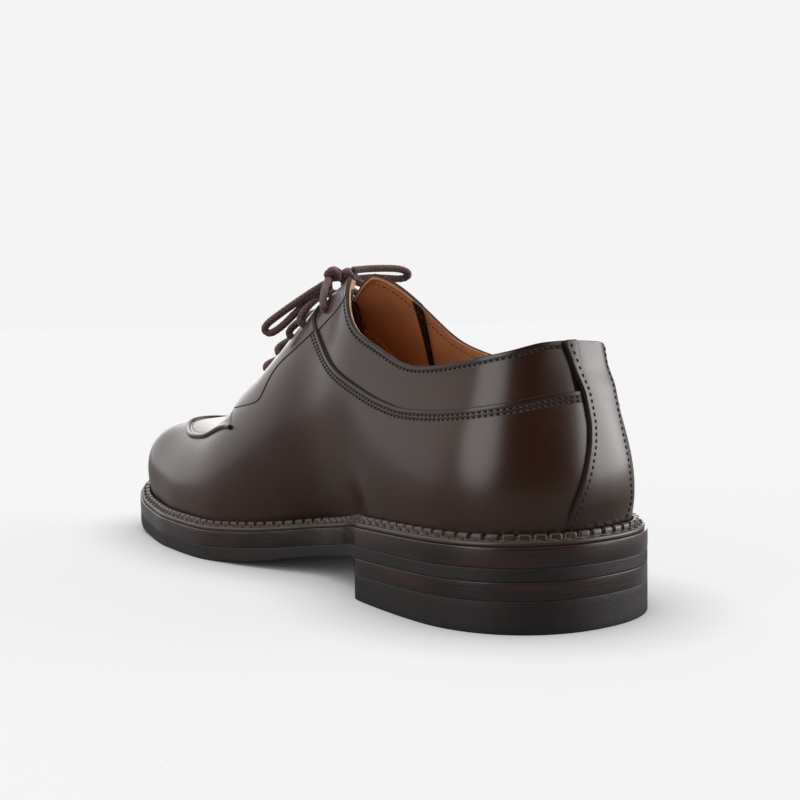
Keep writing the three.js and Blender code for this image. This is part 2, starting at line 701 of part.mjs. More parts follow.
const base = lastSolid((point) => VAMP_OFFSET + tabBulge(point));
const panelsOut = lastSolid(tabBulge);
const facingsOut = lastSolid((point) => FACING_OFFSET + tabBulge(point));
const apronOut = lastSolid(APRON_OFFSET);
const beadOut = lastSolid(BEAD_OFFSET);
const stripOut = lastSolid((point) => STRIP_OFFSET * smooth((point.z - STRIP_FOOT) / 8));
const wallIn = lastSolid(VAMP_OFFSET - WALL);
const core = lastSolid(VAMP_OFFSET - WALL / 2);

const aboveLap = aboveLine(LAP_LINE, 1).add(aboveLine(LAP_LINE, -1));
const facingZone = aboveLine(FACING_LINE, 1).add(aboveLine(FACING_LINE, -1));
const windowZone = upCutter(apronWindow(), 0, SKY).add(upCutter(throatOutline(0.72), 0, SKY));

const panels = panelsOut.subtract(core).subtract(aboveLap).subtract(facingZone).subtract(windowZone);
const facings = facingsOut.subtract(core).intersect(facingZone).subtract(windowZone);
const apronTop = apronOut.subtract(core).intersect(upCutter(apronOutline(0), 0, SKY));
const beadZone = upCutter(apronOutline(0), 0, SKY).subtract(upCutter(apronOutline(APRON_BEAD_WIDTH), 0, SKY));
const bead = beadOut.subtract(core).intersect(beadZone);

const stripShare = monotone(STRIP_HALF_WIDTHS, "height", "half");
const stripHalf = (height) => stripShare(height) * BALL_WIDTH;
const stripHeights = Array.from({ length: 15 }, (_, i) => 0.2 + (0.9 * i) / 14);
const stripOutline = [
  ...stripHeights.map((height) => [stripHalf(height), height * UPPER_RISE]),
  ...stripHeights.map((height) => [-stripHalf(height), height * UPPER_RISE]).reverse(),
];
function backwardCutter(outline, from, to) {
  const shape = new THREE.Shape(outline.map(([x, z]) => new THREE.Vector2(x, z)));
  const geometry = new THREE.ExtrudeGeometry(shape, { depth: to - from, bevelEnabled: false, curveSegments: 1 });
  geometry.applyMatrix4(new THREE.Matrix4().set(1, 0, 0, 0, 0, 0, -1, to, 0, 1, 0, 0, 0, 0, 0, 1));
  return solidOf(geometry);
}
const strip = stripOut.subtract(core).intersect(backwardCutter(stripOutline, yOf(0.2), yOf(-0.05)));

// Where the upper's surface is at a distance from the crest, on one side.
function surfaceAt(distance, y, side) {
  let foot = alongOf(y);
  let up = 1;
  for (let turn = 0; turn < 4; turn += 1) {
    let low = 0.3;
    let high = 1;
    for (let i = 0; i < 24 && distance > 0; i += 1) {
      up = (low + high) / 2;
      const point = lastPoint(foot, side, up);
      if (side * (point.x - crest(alongOf(y))) > distance) low = up;
      else high = up;
    }
    foot -= (y - lastPoint(foot, side, up).y) / OUTSOLE_LENGTH;
  }
  return { point: lastPoint(foot, side, up), normal: lastNormal(foot, side, up) };
}
function overSurface(distance, y, side, offset) {
  const { point, normal } = surfaceAt(distance, y, side);
  return point.addScaledVector(normal, offset + tabBulge(point));
}

const eyeletDistance = (along) => throatHalf(along) + EYELET_SETBACK;
function punch(along, side) {
  const { point, normal } = surfaceAt(eyeletDistance(along), yOf(along), side);
  const geometry = new THREE.CylinderGeometry(EYELET_HOLE / 2, EYELET_HOLE / 2, 16, 12);
  const turn = new THREE.Quaternion().setFromUnitVectors(new THREE.Vector3(0, 1, 0), normal);
  geometry.applyMatrix4(new THREE.Matrix4().compose(point, turn, new THREE.Vector3(1, 1, 1)));
  return solidOf(geometry);
}

const aboveTopline = aboveLine(TOPLINE, 1).add(aboveLine(TOPLINE, -1));
let upper = base.add(panels).add(facings).add(apronTop).add(bead).add(strip);
upper = upper.subtract(wallIn).subtract(aboveTopline).subtract(upCutter(throatOutline(THROAT_END), 0, SKY));
upper = upper.subtract(slab(-CLEAR / 10, () => 0, weltBase));
for (const along of EYELETS_ALONG) upper = upper.subtract(punch(along, 1)).subtract(punch(along, -1));
const insoleInset = UPPER_INSET - VAMP_OFFSET + WALL + 2 * FIT_GAP;
const insole = slab(insoleInset, weltBase, (along) => weltBase(along) + INSOLE_THICKNESS);

// The tongue lies under the facings, and lower beside its middle, where the lace runs from hole to hole.
const tongueHalf = monotone(TONGUE, "along", "half");
const crease = { inside: TONGUE_CREASE.inside * BALL_WIDTH, outside: TONGUE_CREASE.outside * BALL_WIDTH };
const facingUnderside = VAMP_OFFSET - WALL;
const laceDepth = facingUnderside - LACE_CLEARANCE - LACE / 2;
function tongueOffset(distance) {
  const { inside, outside } = crease;
  const drop = laceDepth - LACE / 2 - FIT_GAP - (facingUnderside - TONGUE_CLEARANCE);
  return facingUnderside - TONGUE_CLEARANCE + drop * smooth((distance - inside) / (outside - inside));
}
const tongueAlongs = Array.from({ length: TONGUE_ROWS + 1 }, (_, i) => {
  const [first, last] = [TONGUE[0].along, TONGUE[TONGUE.length - 1].along];
  return first + (last - first) * (i / TONGUE_ROWS) ** 1.3;
});
const tongueRing = (along, side, thickness) => {
  const half = tongueHalf(along) * BALL_WIDTH;
  const { inside, outside } = crease;
  const distances = [0, inside / 2, inside, (inside + outside) / 2, outside, (outside + half) / 2, half];
  return distances.map((distance) => {
    const { point, normal } = surfaceAt(distance, yOf(along), side);
    return point.addScaledVector(normal, tongueOffset(distance) - thickness);
  });
};
function tongueRow(along) {
  const edge = (thickness) => [
    ...tongueRing(along, -1, thickness).slice(1).reverse(),
    ...tongueRing(along, 1, thickness),
  ];
  return [...edge(0), ...edge(TONGUE_THICKNESS).reverse()];
}
function loftRows(rows) {
  const size = rows[0].length;
  const faces = [];
  for (let j = 0; j < rows.length - 1; j += 1) {
    for (let i = 0; i < size; i += 1) {
      const [a, b] = [j * size + i, j * size + ((i + 1) % size)];
      faces.push([a, b + size, b], [a, a + size, b + size]);
    }
  }
  const top = (rows.length - 1) * size;
  for (let i = 0; i < size / 2 - 1; i += 1) {
    const twin = size - 1 - i;
    faces.push([i, twin - 1, twin], [i, i + 1, twin - 1]);
    faces.push([top + i, top + twin, top + twin - 1], [top + i, top + twin - 1, top + i + 1]);
  }
  return solidOf(meshFrom(rows.flat(), faces));
}
const tongue = loftRows(tongueAlongs.map(tongueRow));

// A round lace through points, closed at its ends.
function laceTube(points, steps) {
  const curve = new THREE.CatmullRomCurve3(points);
  const round = Array.from({ length: LACE_SIDES }, (_, i) => {
    const turn = (2 * Math.PI * i) / LACE_SIDES;
    return new THREE.Vector2(Math.cos(turn), Math.sin(turn)).multiplyScalar(LACE / 2);
  });
  return solidOf(
    new THREE.ExtrudeGeometry(new THREE.Shape(round), {
      steps,
      extrudePath: curve,
      bevelEnabled: false,
    }),
  );
}

// The lace goes straight across from hole to hole, and down from hole to hole under the facings.
const laceHeight = FACING_OFFSET + LACE / 2 + LACE_CLEARANCE;
const throughHole = (along, side) => {
  const distance = eyeletDistance(along);
  return [
    overSurface(distance, yOf(along), side, laceDepth),
    overSurface(distance, yOf(along), side, facingUnderside / 2),
    overSurface(distance - 0.4, yOf(along), side, laceHeight - 0.5),
    overSurface(distance - 2.6, yOf(along), side, laceHeight),
    overSurface(throatHalf(along), yOf(along), side, laceHeight),
  ];
};
function laceBar(along) {
  const near = throughHole(along, 1);
  const far = throughHole(along, -1).reverse();
  const middle = near[4].clone().lerp(far[0], 0.5);
  return laceTube([...near, middle, ...far], 26);
}
function laceRun(from, to, side) {
  const ends = [from, to].map((along) => throughHole(along, side)[0]);
  return laceTube([ends[0], ends[0].clone().lerp(ends[1], 0.5), ends[1]], 3);
}
function laceStrand(along, side) {
  const start = throughHole(along, side).slice(0, 3);
  const knot = side > 0 ? KNOT[0] : KNOT[1];
  const reach = knot.wide + LACE / 2 + FIT_GAP;
  const end = new THREE.Vector3(knot.x + side * reach * 0.62, knot.y + reach * 0.72, knot.z - knot.high);
  const middle = start[2].clone().lerp(end, 0.5);
  middle.z += 1.2;
  return laceTube([...start, middle, end], 14);
}
const [topEyelet, ...lowerEyelets] = EYELETS_ALONG;
let crossings = laceStrand(topEyelet, 1).add(laceStrand(topEyelet, -1));
for (const along of lowerEyelets) crossings = crossings.add(laceBar(along));
EYELETS_ALONG.slice(1).forEach((along, i) => {
  for (const side of [1, -1]) crossings = crossings.add(laceRun(EYELETS_ALONG[i], along, side));
});

const knot = KNOT.map(({ x, y, z, wide, deep, high }) => {
  const lobe = new THREE.SphereGeometry(1, KNOT_SIDES, KNOT_SIDES - 2);
  lobe.applyMatrix4(new THREE.Matrix4().makeScale(wide, deep, high).setPosition(x, y, z));
  return solidOf(lobe);
}).reduce((joined, lobe) => joined.add(lobe));


const group = new THREE.Group();
function addNode(name, geometry, look) {
  const mesh = new THREE.Mesh(geometry, look);
  mesh.name = name;
  group.add(mesh);
}
addNode("outsole", geometryOf(outsole), SOLE_RUBBER);
addNode("midsole", geometryOf(midsole), SOLE_LEATHER);
addNode("heel_lift", geometryOf(heelLift), HEEL_LEATHER);
addNode("heel_top_piece", geometryOf(topPiece), SOLE_RUBBER);
addNode("welt", geometryOf(welt), WELT_LEATHER);
addNode("upper", geometryOf(upper), UPPER_LEATHER);
addNode("insole", geometryOf(insole), LINING_LEATHER);
addNode("tongue", geometryOf(tongue), UPPER_LEATHER);
addNode("lace_crossings", geometryOf(crossings), LACE_CORD);
addNode("lace_knot", geometryOf(knot), LACE_CORD);
for (const [name, points] of Object.entries(BOW)) {
  const route = points.map(([x, y, z]) => new THREE.Vector3(x, y, z));
  addNode(name, geometryOf(laceTube(route, 3 * points.length)), LACE_CORD);
}

// The origin is on the floor under the middle of the sole's outline.
const widest = (column) => Math.max(...SOLE_OUTLINE.map((row) => row[column]));
group.position.x = ((widest("outer") - widest("inner")) / 2) * BALL_WIDTH;

export default group;
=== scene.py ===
"""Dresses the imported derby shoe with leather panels, stitches, welt, sole and lace."""

import math

import bpy
import numpy as np
from bpy.props import FloatProperty, FloatVectorProperty, PointerProperty
from mathutils import Matrix, Vector


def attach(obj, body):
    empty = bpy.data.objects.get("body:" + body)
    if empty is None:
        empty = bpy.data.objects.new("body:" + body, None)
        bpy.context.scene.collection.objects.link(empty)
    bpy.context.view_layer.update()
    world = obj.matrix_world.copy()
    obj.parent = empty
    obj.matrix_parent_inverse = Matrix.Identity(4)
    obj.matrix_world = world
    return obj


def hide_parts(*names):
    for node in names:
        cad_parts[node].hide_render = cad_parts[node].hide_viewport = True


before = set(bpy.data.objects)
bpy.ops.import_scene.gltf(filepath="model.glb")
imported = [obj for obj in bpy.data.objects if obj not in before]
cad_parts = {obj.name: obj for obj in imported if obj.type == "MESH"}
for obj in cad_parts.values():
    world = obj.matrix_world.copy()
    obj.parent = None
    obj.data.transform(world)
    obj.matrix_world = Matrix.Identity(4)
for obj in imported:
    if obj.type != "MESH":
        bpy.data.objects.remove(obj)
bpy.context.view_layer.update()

bl_info = {
    "name": "Derby shoe",
    "version": (1, 0, 0),
    "blender": (4, 5, 0),
    "location": "3D View > Sidebar > Shoe",
    "description": "Builds a welted derby shoe with an apron front around its packed solids",
    "category": "Add Mesh",
}

# Lengths are worked out in millimetres, in the shoe's own frame, and become metres in the meshes.
MM = 0.001

# Driving sizes, as the solids have them.
OUTSOLE_LENGTH = 296.0
BALL_WIDTH = 100.0
HEEL_HEIGHT = 16.4
TOE_SPRING = 8.6
OUTSOLE_THICKNESS = 5.8
HEEL_SEAT_THICKNESS = 4.4
MIDSOLE_THICKNESS = 5.8
LIFT_THICKNESS = 5.4
HEEL_BREAST = 85.0
LAYER_GAP = 0.3
WELT_LIP_HEIGHT = 3.6
UPPER_INSET = 5.0
UPPER_RISE = 95.0
FIT_GAP = 0.3
TAB_BULGE = 1.2
LACE = 2.6

# How far each layer lies from the side panels' outside.
COLLAR_OFFSET = -1.2
STAY_OFFSET = 0.3
APRON_OFFSET = 0.2
STRIP_OFFSET = 1.3
LINING_OFFSET = -2.9
VAMP_UNDERSIDE = -2.9

# Sole outline: half widths on each side as shares of the ball width, at shares of the length.
SOLE_OUTLINE = {
    "along": (0.0, 0.15, 0.27, 0.35, 0.42, 0.5, 0.57, 0.65, 0.75, 0.87, 1.0),
    "inner": (0.42, 0.418, 0.388, 0.3, 0.268, 0.335, 0.395, 0.432, 0.412, 0.338, 0.29),
    "outer": (0.42, 0.418, 0.4, 0.375, 0.378, 0.44, 0.52, 0.572, 0.56, 0.46, 0.36),
}
HEEL_ROUND = {"share": 0.152, "power": 2.2}
TOE_ROUND = {"share": 0.16, "power": 2.4}
SOLE_PROFILE = {
    "along": (0.0, 0.29, 0.36, 0.45, 0.55, 0.64, 0.8, 0.88, 1.0),
    "heel": (1.0, 0.872, 0.659, 0.39, 0.104, 0.0, 0.0, 0.0, 0.0),
    "spring": (0.0, 0.0, 0.0, 0.0, 0.0, 0.0, 0.0, 0.14, 1.0),
    "fore": (0.0, 0.0, 0.0, 0.15, 0.85, 1.0, 1.0, 1.0, 1.0),
}

# The last: where the profile from a foot point ends above, and how the profiles bulge.
LAST_TOP = {
    "foot": (0.0, 0.04, 0.13, 0.22, 0.3, 0.37, 0.42, 0.455, 0.5, 0.54, 0.58, 0.65, 0.7, 0.77, 0.84, 0.91,
             1.0),
    "along": (0.048, 0.055, 0.105, 0.2, 0.3, 0.37, 0.42, 0.455, 0.5, 0.54, 0.58, 0.65, 0.7, 0.77, 0.84,
              0.88, 0.88),
    "across": (0.0, 0.12, 0.235, 0.265, 0.235, 0.17, 0.0, 0.0, 0.0, 0.0, 0.0, 0.0, 0.0, 0.0, 0.0, 0.0, 0.0),
    "rise": (0.82, 0.82, 0.82, 0.84, 0.94, 1.06, 1.075, 1.03, 0.94, 0.861, 0.782, 0.632, 0.52, 0.462, 0.425,
             0.403, 0.403),
}
INNER_BULGE = {
    "foot": (0.0, 0.13, 0.22, 0.3, 0.38, 0.44, 0.5, 0.57, 0.65, 0.75, 0.84, 0.92, 1.0),
    "out": (0.05, 0.055, 0.04, 0.06, 0.13, 0.15, 0.11, 0.065, 0.05, 0.055, 0.055, 0.05, 0.035),
    "up": (0.27, 0.27, 0.27, 0.24, 0.26, 0.26, 0.28, 0.28, 0.24, 0.22, 0.22, 0.22, 0.22),
    "top_out": (-0.02, -0.01, 0.01, 0.05, 0.17, 0.3, 0.32, 0.33, 0.32, 0.26, 0.24, 0.22, 0.2),
    "top_down": (0.3, 0.3, 0.3, 0.34, 0.36, 0.22, 0.13, 0.09, 0.04, 0.02, 0.01, 0.0, 0.0),
}
OUTER_BULGE = {
    "foot": (0.0, 0.13, 0.22, 0.3, 0.38, 0.44, 0.5, 0.57, 0.65, 0.75, 0.84, 0.92, 1.0),
    "out": (0.05, 0.05, 0.035, 0.04, 0.06, 0.06, 0.05, 0.035, 0.03, 0.03, 0.035, 0.04, 0.035),
    "up": (0.27, 0.27, 0.26, 0.24, 0.24, 0.24, 0.24, 0.23, 0.21, 0.2, 0.2, 0.21, 0.22),
    "top_out": (-0.02, -0.01, 0.01, 0.06, 0.2, 0.32, 0.36, 0.38, 0.37, 0.33, 0.29, 0.24, 0.2),
    "top_down": (0.3, 0.3, 0.3, 0.34, 0.36, 0.22, 0.15, 0.11, 0.06, 0.03, 0.01, 0.0, 0.0),
}
CREST = {
    "along": (0.0, 0.25, 0.38, 0.45, 0.52, 0.6, 0.7, 0.8, 0.88, 1.0),
    "across": (0.0, 0.01, 0.035, 0.04, 0.02, -0.01, -0.035, -0.035, -0.015, 0.0),
}

# Edges seen from the side: height above the floor as a share of the upper's rise.
TOPLINE = {
    "along": (-0.02, 0.036, 0.049, 0.06, 0.085, 0.142, 0.178, 0.198, 0.218, 0.239, 0.262, 0.285, 0.312,
              0.336, 0.358, 0.376, 0.392, 0.4, 0.406, 0.412, 0.422, 0.44),
    "inner": (0.957, 0.952, 0.949, 0.923, 0.905, 0.872, 0.86, 0.856, 0.86, 0.877, 0.905, 0.932, 0.962,
              1.004, 1.072, 1.127, 1.163, 1.178, 1.188, 1.198, 1.214, 1.235),
    "outer": (0.957, 0.95, 0.94, 0.922, 0.899, 0.862, 0.847, 0.843, 0.841, 0.848, 0.86, 0.876, 0.898, 0.922,
              0.962, 1.03, 1.11, 1.155, 1.187, 1.21, 1.225, 1.228),
}
LAP_LINE = {
    "along": (-0.02, 0.035, 0.052, 0.077, 0.113, 0.165, 0.203, 0.257, 0.314, 0.37, 0.419, 0.442, 0.461,
              0.477, 0.488),
    "inner": (0.785, 0.779, 0.754, 0.738, 0.721, 0.709, 0.708, 0.733, 0.783, 0.849, 0.94, 0.993, 1.033,
              1.08, 1.13),
    "outer": (0.785, 0.778, 0.755, 0.731, 0.713, 0.689, 0.686, 0.703, 0.741, 0.825, 0.9, 0.937, 0.99, 1.055,
              1.11),
}
FACING_LINE = {
    "along": (0.36, 0.392, 0.418, 0.433, 0.446, 0.461, 0.481, 0.501, 0.52, 0.527, 0.531, 0.559, 0.586, 0.62,
              0.72),
    "inner": (1.14, 1.076, 1.03, 0.995, 0.962, 0.932, 0.89, 0.855, 0.801, 0.75, 0.703, 0.672, 0.66, 0.645,
              0.6),
    "outer": (1.12, 1.056, 1.01, 0.975, 0.942, 0.912, 0.87, 0.836, 0.783, 0.733, 0.688, 0.656, 0.646, 0.632,
              0.585),
}
# The strip up the back: its edges from the middle, as shares of the ball width, at heights.
STRIP = {
    "height": (0.2, 0.33, 0.4, 0.47, 0.55, 0.61, 0.68, 0.75, 0.8, 0.87, 0.93, 1.1),
    "inner": (0.14, 0.128, 0.108, 0.077, 0.046, 0.026, 0.013, 0.012, 0.019, 0.031, 0.047, 0.06),
    "outer": (0.176, 0.182, 0.179, 0.174, 0.169, 0.166, 0.167, 0.17, 0.173, 0.176, 0.18, 0.19),
}
# The seam in the lining where the front part's edge lies over the back part.
LINING_SEAM = {
    "along": (0.4, 0.445, 0.454, 0.464, 0.474, 0.484, 0.494, 0.505, 0.53),
    "height": (0.5, 0.76, 0.862, 0.912, 0.958, 0.998, 1.022, 1.036, 1.06),
}

# Outlines seen from above: distance from the crest as a share of the ball width.
APRON = {
    "along": (0.6, 0.65, 0.7, 0.745, 0.79, 0.822, 0.853, 0.877, 0.886),
    "across": (0.342, 0.33, 0.31, 0.285, 0.256, 0.218, 0.16, 0.085, 0.0),
}
TAB_FRONT = {
    "along": (0.6, 0.618, 0.632, 0.645, 0.656, 0.664, 0.668),
    "across": (0.342, 0.315, 0.278, 0.23, 0.18, 0.125, 0.06),
}
THROAT = {
    "along": (0.38, 0.42, 0.435, 0.47, 0.5, 0.6, 0.66, 0.72),
    "inner": (0.088, 0.086, 0.08, 0.07, 0.062, 0.05, 0.036, 0.032),
    "outer": (0.057, 0.055, 0.05, 0.062, 0.066, 0.054, 0.036, 0.032),
}
EYELETS_ALONG = (0.442, 0.488, 0.524, 0.567, 0.613)
EYELET_SETBACKS = (6.0, 8.5, 9.0, 9.0, 8.5)
TONGUE = {
    "along": (0.468, 0.472, 0.485, 0.52, 0.56, 0.62, 0.7),
    "half": (0.09, 0.12, 0.16, 0.22, 0.24, 0.21, 0.18),
}
TAB_REACH = {"back": 0.57, "front": 0.725, "half": 0.32, "back_blend": 20, "front_blend": 5, "side_blend": 12}

# The lace's free stretches, point by point, as the bow lies.
BOW = {
    "lace_loop_inner": (
        (9.2, 5.2, 111.2), (12, 3.4, 109.2), (15, 1.8, 107.1), (19, -2.2, 103.5), (23, -6.3, 99.7),
        (26, -10.3, 96.2), (26.7, -12.2, 93.6), (25, -10.4, 92.2), (22, -6.7, 94.9), (18.5, -3.2, 99.4),
        (14.5, -0.5, 103.8), (10.4, 1.2, 107.6), (7.6, 2.8, 109.8),
    ),
    "lace_loop_outer": (
        (-2.6, 7.4, 116.6), (-7, 7.4, 117), (-11, 7.6, 117.3), (-18, 8.9, 117.5), (-24, 10, 117.2),
        (-27.6, 10.6, 115.8), (-28, 9.6, 114.2), (-25.5, 8.2, 113.4), (-20, 7, 113.6), (-13, 6.6, 113.8),
        (-7, 6, 113.4), (-3.4, 6.2, 113),
    ),
    "lace_end_inner": (
        (4.6, 1.4, 112.8), (1.5, -3.5, 110.4), (-4.5, -9.5, 104.8), (-11, -15, 97.6), (-17, -20, 89.8),
        (-22, -24, 83), (-26, -27.5, 76.8),
    ),
    "lace_end_outer": (
        (-1.4, 2.6, 111.2), (-5.5, 1.2, 109.4), (-10.5, 1.8, 106.4), (-15.5, 2.4, 102), (-20, 3, 96.2),
        (-24, 3, 89.6), (-27.6, 2.5, 83), (-30.4, 2, 77),
    ),
}


def monotone(table, column):
    """A smooth curve through a column over the table's first one, which never overshoots its values."""
    xs, ys = np.array(next(iter(table.values())), float), np.array(table[column], float)
    step = np.diff(xs)
    slope = np.diff(ys) / step
    tangent = np.zeros(len(xs))
    tangent[0], tangent[-1] = slope[0], slope[-1]
    for i in range(1, len(xs) - 1):
        if slope[i - 1] * slope[i] > 0:
            before, after = 2 * step[i] + step[i - 1], step[i] + 2 * step[i - 1]
            tangent[i] = (before + after) / (before / slope[i - 1] + after / slope[i])

    def value(at):
        x = np.clip(np.asarray(at, float), xs[0], xs[-1])
        i = np.clip(np.searchsorted(xs, x, side="right") - 1, 0, len(xs) - 2)
        t = (x - xs[i]) / step[i]
        start = ys[i] * (1 + 2 * t) * (1 - t) ** 2 + step[i] * tangent[i] * t * (1 - t) ** 2
        return start + ys[i + 1] * t * t * (3 - 2 * t) - step[i] * tangent[i + 1] * t * t * (1 - t)

    return value


def smooth(x):
    """0 up to 0 and 1 from 1 on, with an eased rise between."""
    t = np.clip(x, 0, 1)
    return t * t * (3 - 2 * t)


def unit(v):
    """Vectors made one long."""
    return v / np.maximum(np.linalg.norm(v, axis=-1, keepdims=True), 1e-12)


def along_of(y):
    """The share of the length from the heel's back that a y stands for."""
    return (OUTSOLE_LENGTH / 2 - y) / OUTSOLE_LENGTH


def y_of(along):
    """The y at a share of the length from the heel's back."""
    return OUTSOLE_LENGTH / 2 - np.asarray(along, float) * OUTSOLE_LENGTH


def softened(table, column, reach=0.022):
    """A table's curve with its bends eased over a reach to both sides."""
    sharp = monotone(table, column)
    ends = next(iter(table.values()))
    fine = np.linspace(ends[0] - 3 * reach, ends[-1] + 3 * reach, 1200)
    eased = sharp(fine)
    gap = fine[1] - fine[0]
    span = int(3 * reach / gap)
    bell = np.exp(-0.5 * (np.arange(-span, span + 1) * gap / reach) ** 2)
    padded = np.concatenate([np.full(span, eased[0]), eased, np.full(span, eased[-1])])
    eased = np.convolve(padded, bell / bell.sum(), "valid")
    return lambda at: np.interp(np.clip(at, ends[0], ends[-1]), fine, eased)


inner_half = monotone(SOLE_OUTLINE, "inner")
outer_half = monotone(SOLE_OUTLINE, "outer")
heel_share = monotone(SOLE_PROFILE, "heel")
spring_share = monotone(SOLE_PROFILE, "spring")
fore_share = monotone(SOLE_PROFILE, "fore")
crest_share = monotone(CREST, "across")
throat_shares = {1: monotone(THROAT, "inner"), -1: monotone(THROAT, "outer")}
strip_shares = {1: monotone(STRIP, "inner"), -1: monotone(STRIP, "outer")}
tongue_share = monotone(TONGUE, "half")
last_along = monotone(LAST_TOP, "along")
last_across = monotone(LAST_TOP, "across")
last_rise = monotone(LAST_TOP, "rise")
BULGES = {
    side: {name: softened(table, name, 0.03) for name in ("out", "up", "top_out", "top_down")}
    for side, table in ((1, INNER_BULGE), (-1, OUTER_BULGE))
}

# The origin is on the floor under the middle of the sole's outline.
SHIFT = (max(SOLE_OUTLINE["outer"]) - max(SOLE_OUTLINE["inner"])) / 2 * BALL_WIDTH


def underside(along):
    """Heights of the sole's layers above the floor, from the lowest up."""
    return HEEL_HEIGHT * heel_share(along) + TOE_SPRING * spring_share(along)


def outsole_top(along):
    grown = (OUTSOLE_THICKNESS - HEEL_SEAT_THICKNESS) * fore_share(along)
    return underside(along) + HEEL_SEAT_THICKNESS + grown


def midsole_top(along):
    return outsole_top(along) + LAYER_GAP + MIDSOLE_THICKNESS


def welt_base(along):
    return midsole_top(along) + LAYER_GAP


def foot_height(along):
    return welt_base(along) + WELT_LIP_HEIGHT + FIT_GAP


def crest(along):
    """How far the ridge of the instep and toe lies to the inner side."""
    return crest_share(along) * BALL_WIDTH


def throat_half(along, side):
    """From the crest to the throat's edge, at one side."""
    return throat_shares[int(side)](along) * BALL_WIDTH


def outline_points(along, side):
    """Points of the sole's outline in plan; side is 1 on the inner side and -1 on the outer side."""
    along = np.asarray(along, float)
    half = np.where(side > 0, inner_half(along), outer_half(along)) * BALL_WIDTH
    heel = np.clip(1 - along / HEEL_ROUND["share"], 0, 1)
    toe = np.clip((along - 1 + TOE_ROUND["share"]) / TOE_ROUND["share"], 0, 1)
    at_heel = (1 - heel ** HEEL_ROUND["power"]) ** (1 / HEEL_ROUND["power"])
    at_toe = (1 - toe ** TOE_ROUND["power"]) ** (1 / TOE_ROUND["power"])
    return np.stack([side * half * at_heel * at_toe, y_of(along)], -1)


def outline_normals(along, side):
    """Ways out of the sole's outline in plan."""
    reach = 1e-4
    after = outline_points(np.clip(along + reach, 0, 1), side)
    travel = unit(after - outline_points(np.clip(along - reach, 0, 1), side))
    return np.stack([-travel[..., 1] * side, travel[..., 0] * side], -1)


def with_height(plan, height):
    """Plan points with a height added to each."""
    return np.concatenate([plan, np.asarray(height)[..., None]], -1)


def drawn_points(foot, side, up):
    """Points of the upper as its tables draw it: foot from back to toe, up from the welt to the top."""
    foot, side, up = np.broadcast_arrays(*(np.asarray(v, float) for v in (foot, side, up)))

    def bulge(name):
        return np.where(side > 0, BULGES[1][name](foot), BULGES[-1][name](foot))[..., None]

    normal = outline_normals(foot, side)
    plan = outline_points(foot, side) - UPPER_INSET * normal
    start = with_height(plan, foot_height(along_of(plan[..., 1])))
    along = last_along(foot)
    end = np.stack(
        [
            crest(along) + side * last_across(foot) * BALL_WIDTH,
            y_of(along),
            midsole_top(along) + last_rise(foot) * UPPER_RISE,
        ],
        -1,
    )
    foot_handle = start + with_height(normal * bulge("out") * BALL_WIDTH, bulge("up")[..., 0] * UPPER_RISE)
    away = unit((start - end) * [1, 1, 0])
    top_handle = end + away * bulge("top_out") * BALL_WIDTH
    top_handle[..., 2] -= bulge("top_down")[..., 0] * UPPER_RISE
    t = up[..., None]
    near = start * (1 - t) ** 3 + 3 * foot_handle * t * (1 - t) ** 2
    return near + 3 * top_handle * t * t * (1 - t) + end * t**3


# The upper's surface is kept as a grid of columns round the foot and rows up to the crest.
COLUMNS = 340
ROWS = 96
DROP = 4.5
EASE_REACH = 8.0
CREST_REACH = 5.0


def stations(count):
    """Shares from 0 to 1 that lie closer together near both ends."""
    return (1 - np.cos(np.pi * np.arange(count + 1) / count)) / 2


def even_stations(count):
    """Shares of the length whose outline points lie evenly along one side."""
    fine = stations(4000)
    plan = outline_points(fine, -1.0)
    run = np.concatenate([[0], np.cumsum(np.linalg.norm(np.diff(plan, axis=0), axis=1))])
    return np.interp(np.linspace(0, run[-1], count + 1), run, fine)


def eased(rows, reach):
    """Points averaged with their neighbours along the first axis; reach is in steps."""
    span = int(3 * reach)
    bell = np.exp(-0.5 * (np.arange(-span, span + 1) / reach) ** 2)
    bell /= bell.sum()
    before = 2 * rows[:1] - rows[span:0:-1]
    after = 2 * rows[-1:] - rows[-2 : -span - 2 : -1]
    long = np.concatenate([before, rows, after])
    return sum(weight * long[k : k + len(rows)] for k, weight in enumerate(bell))


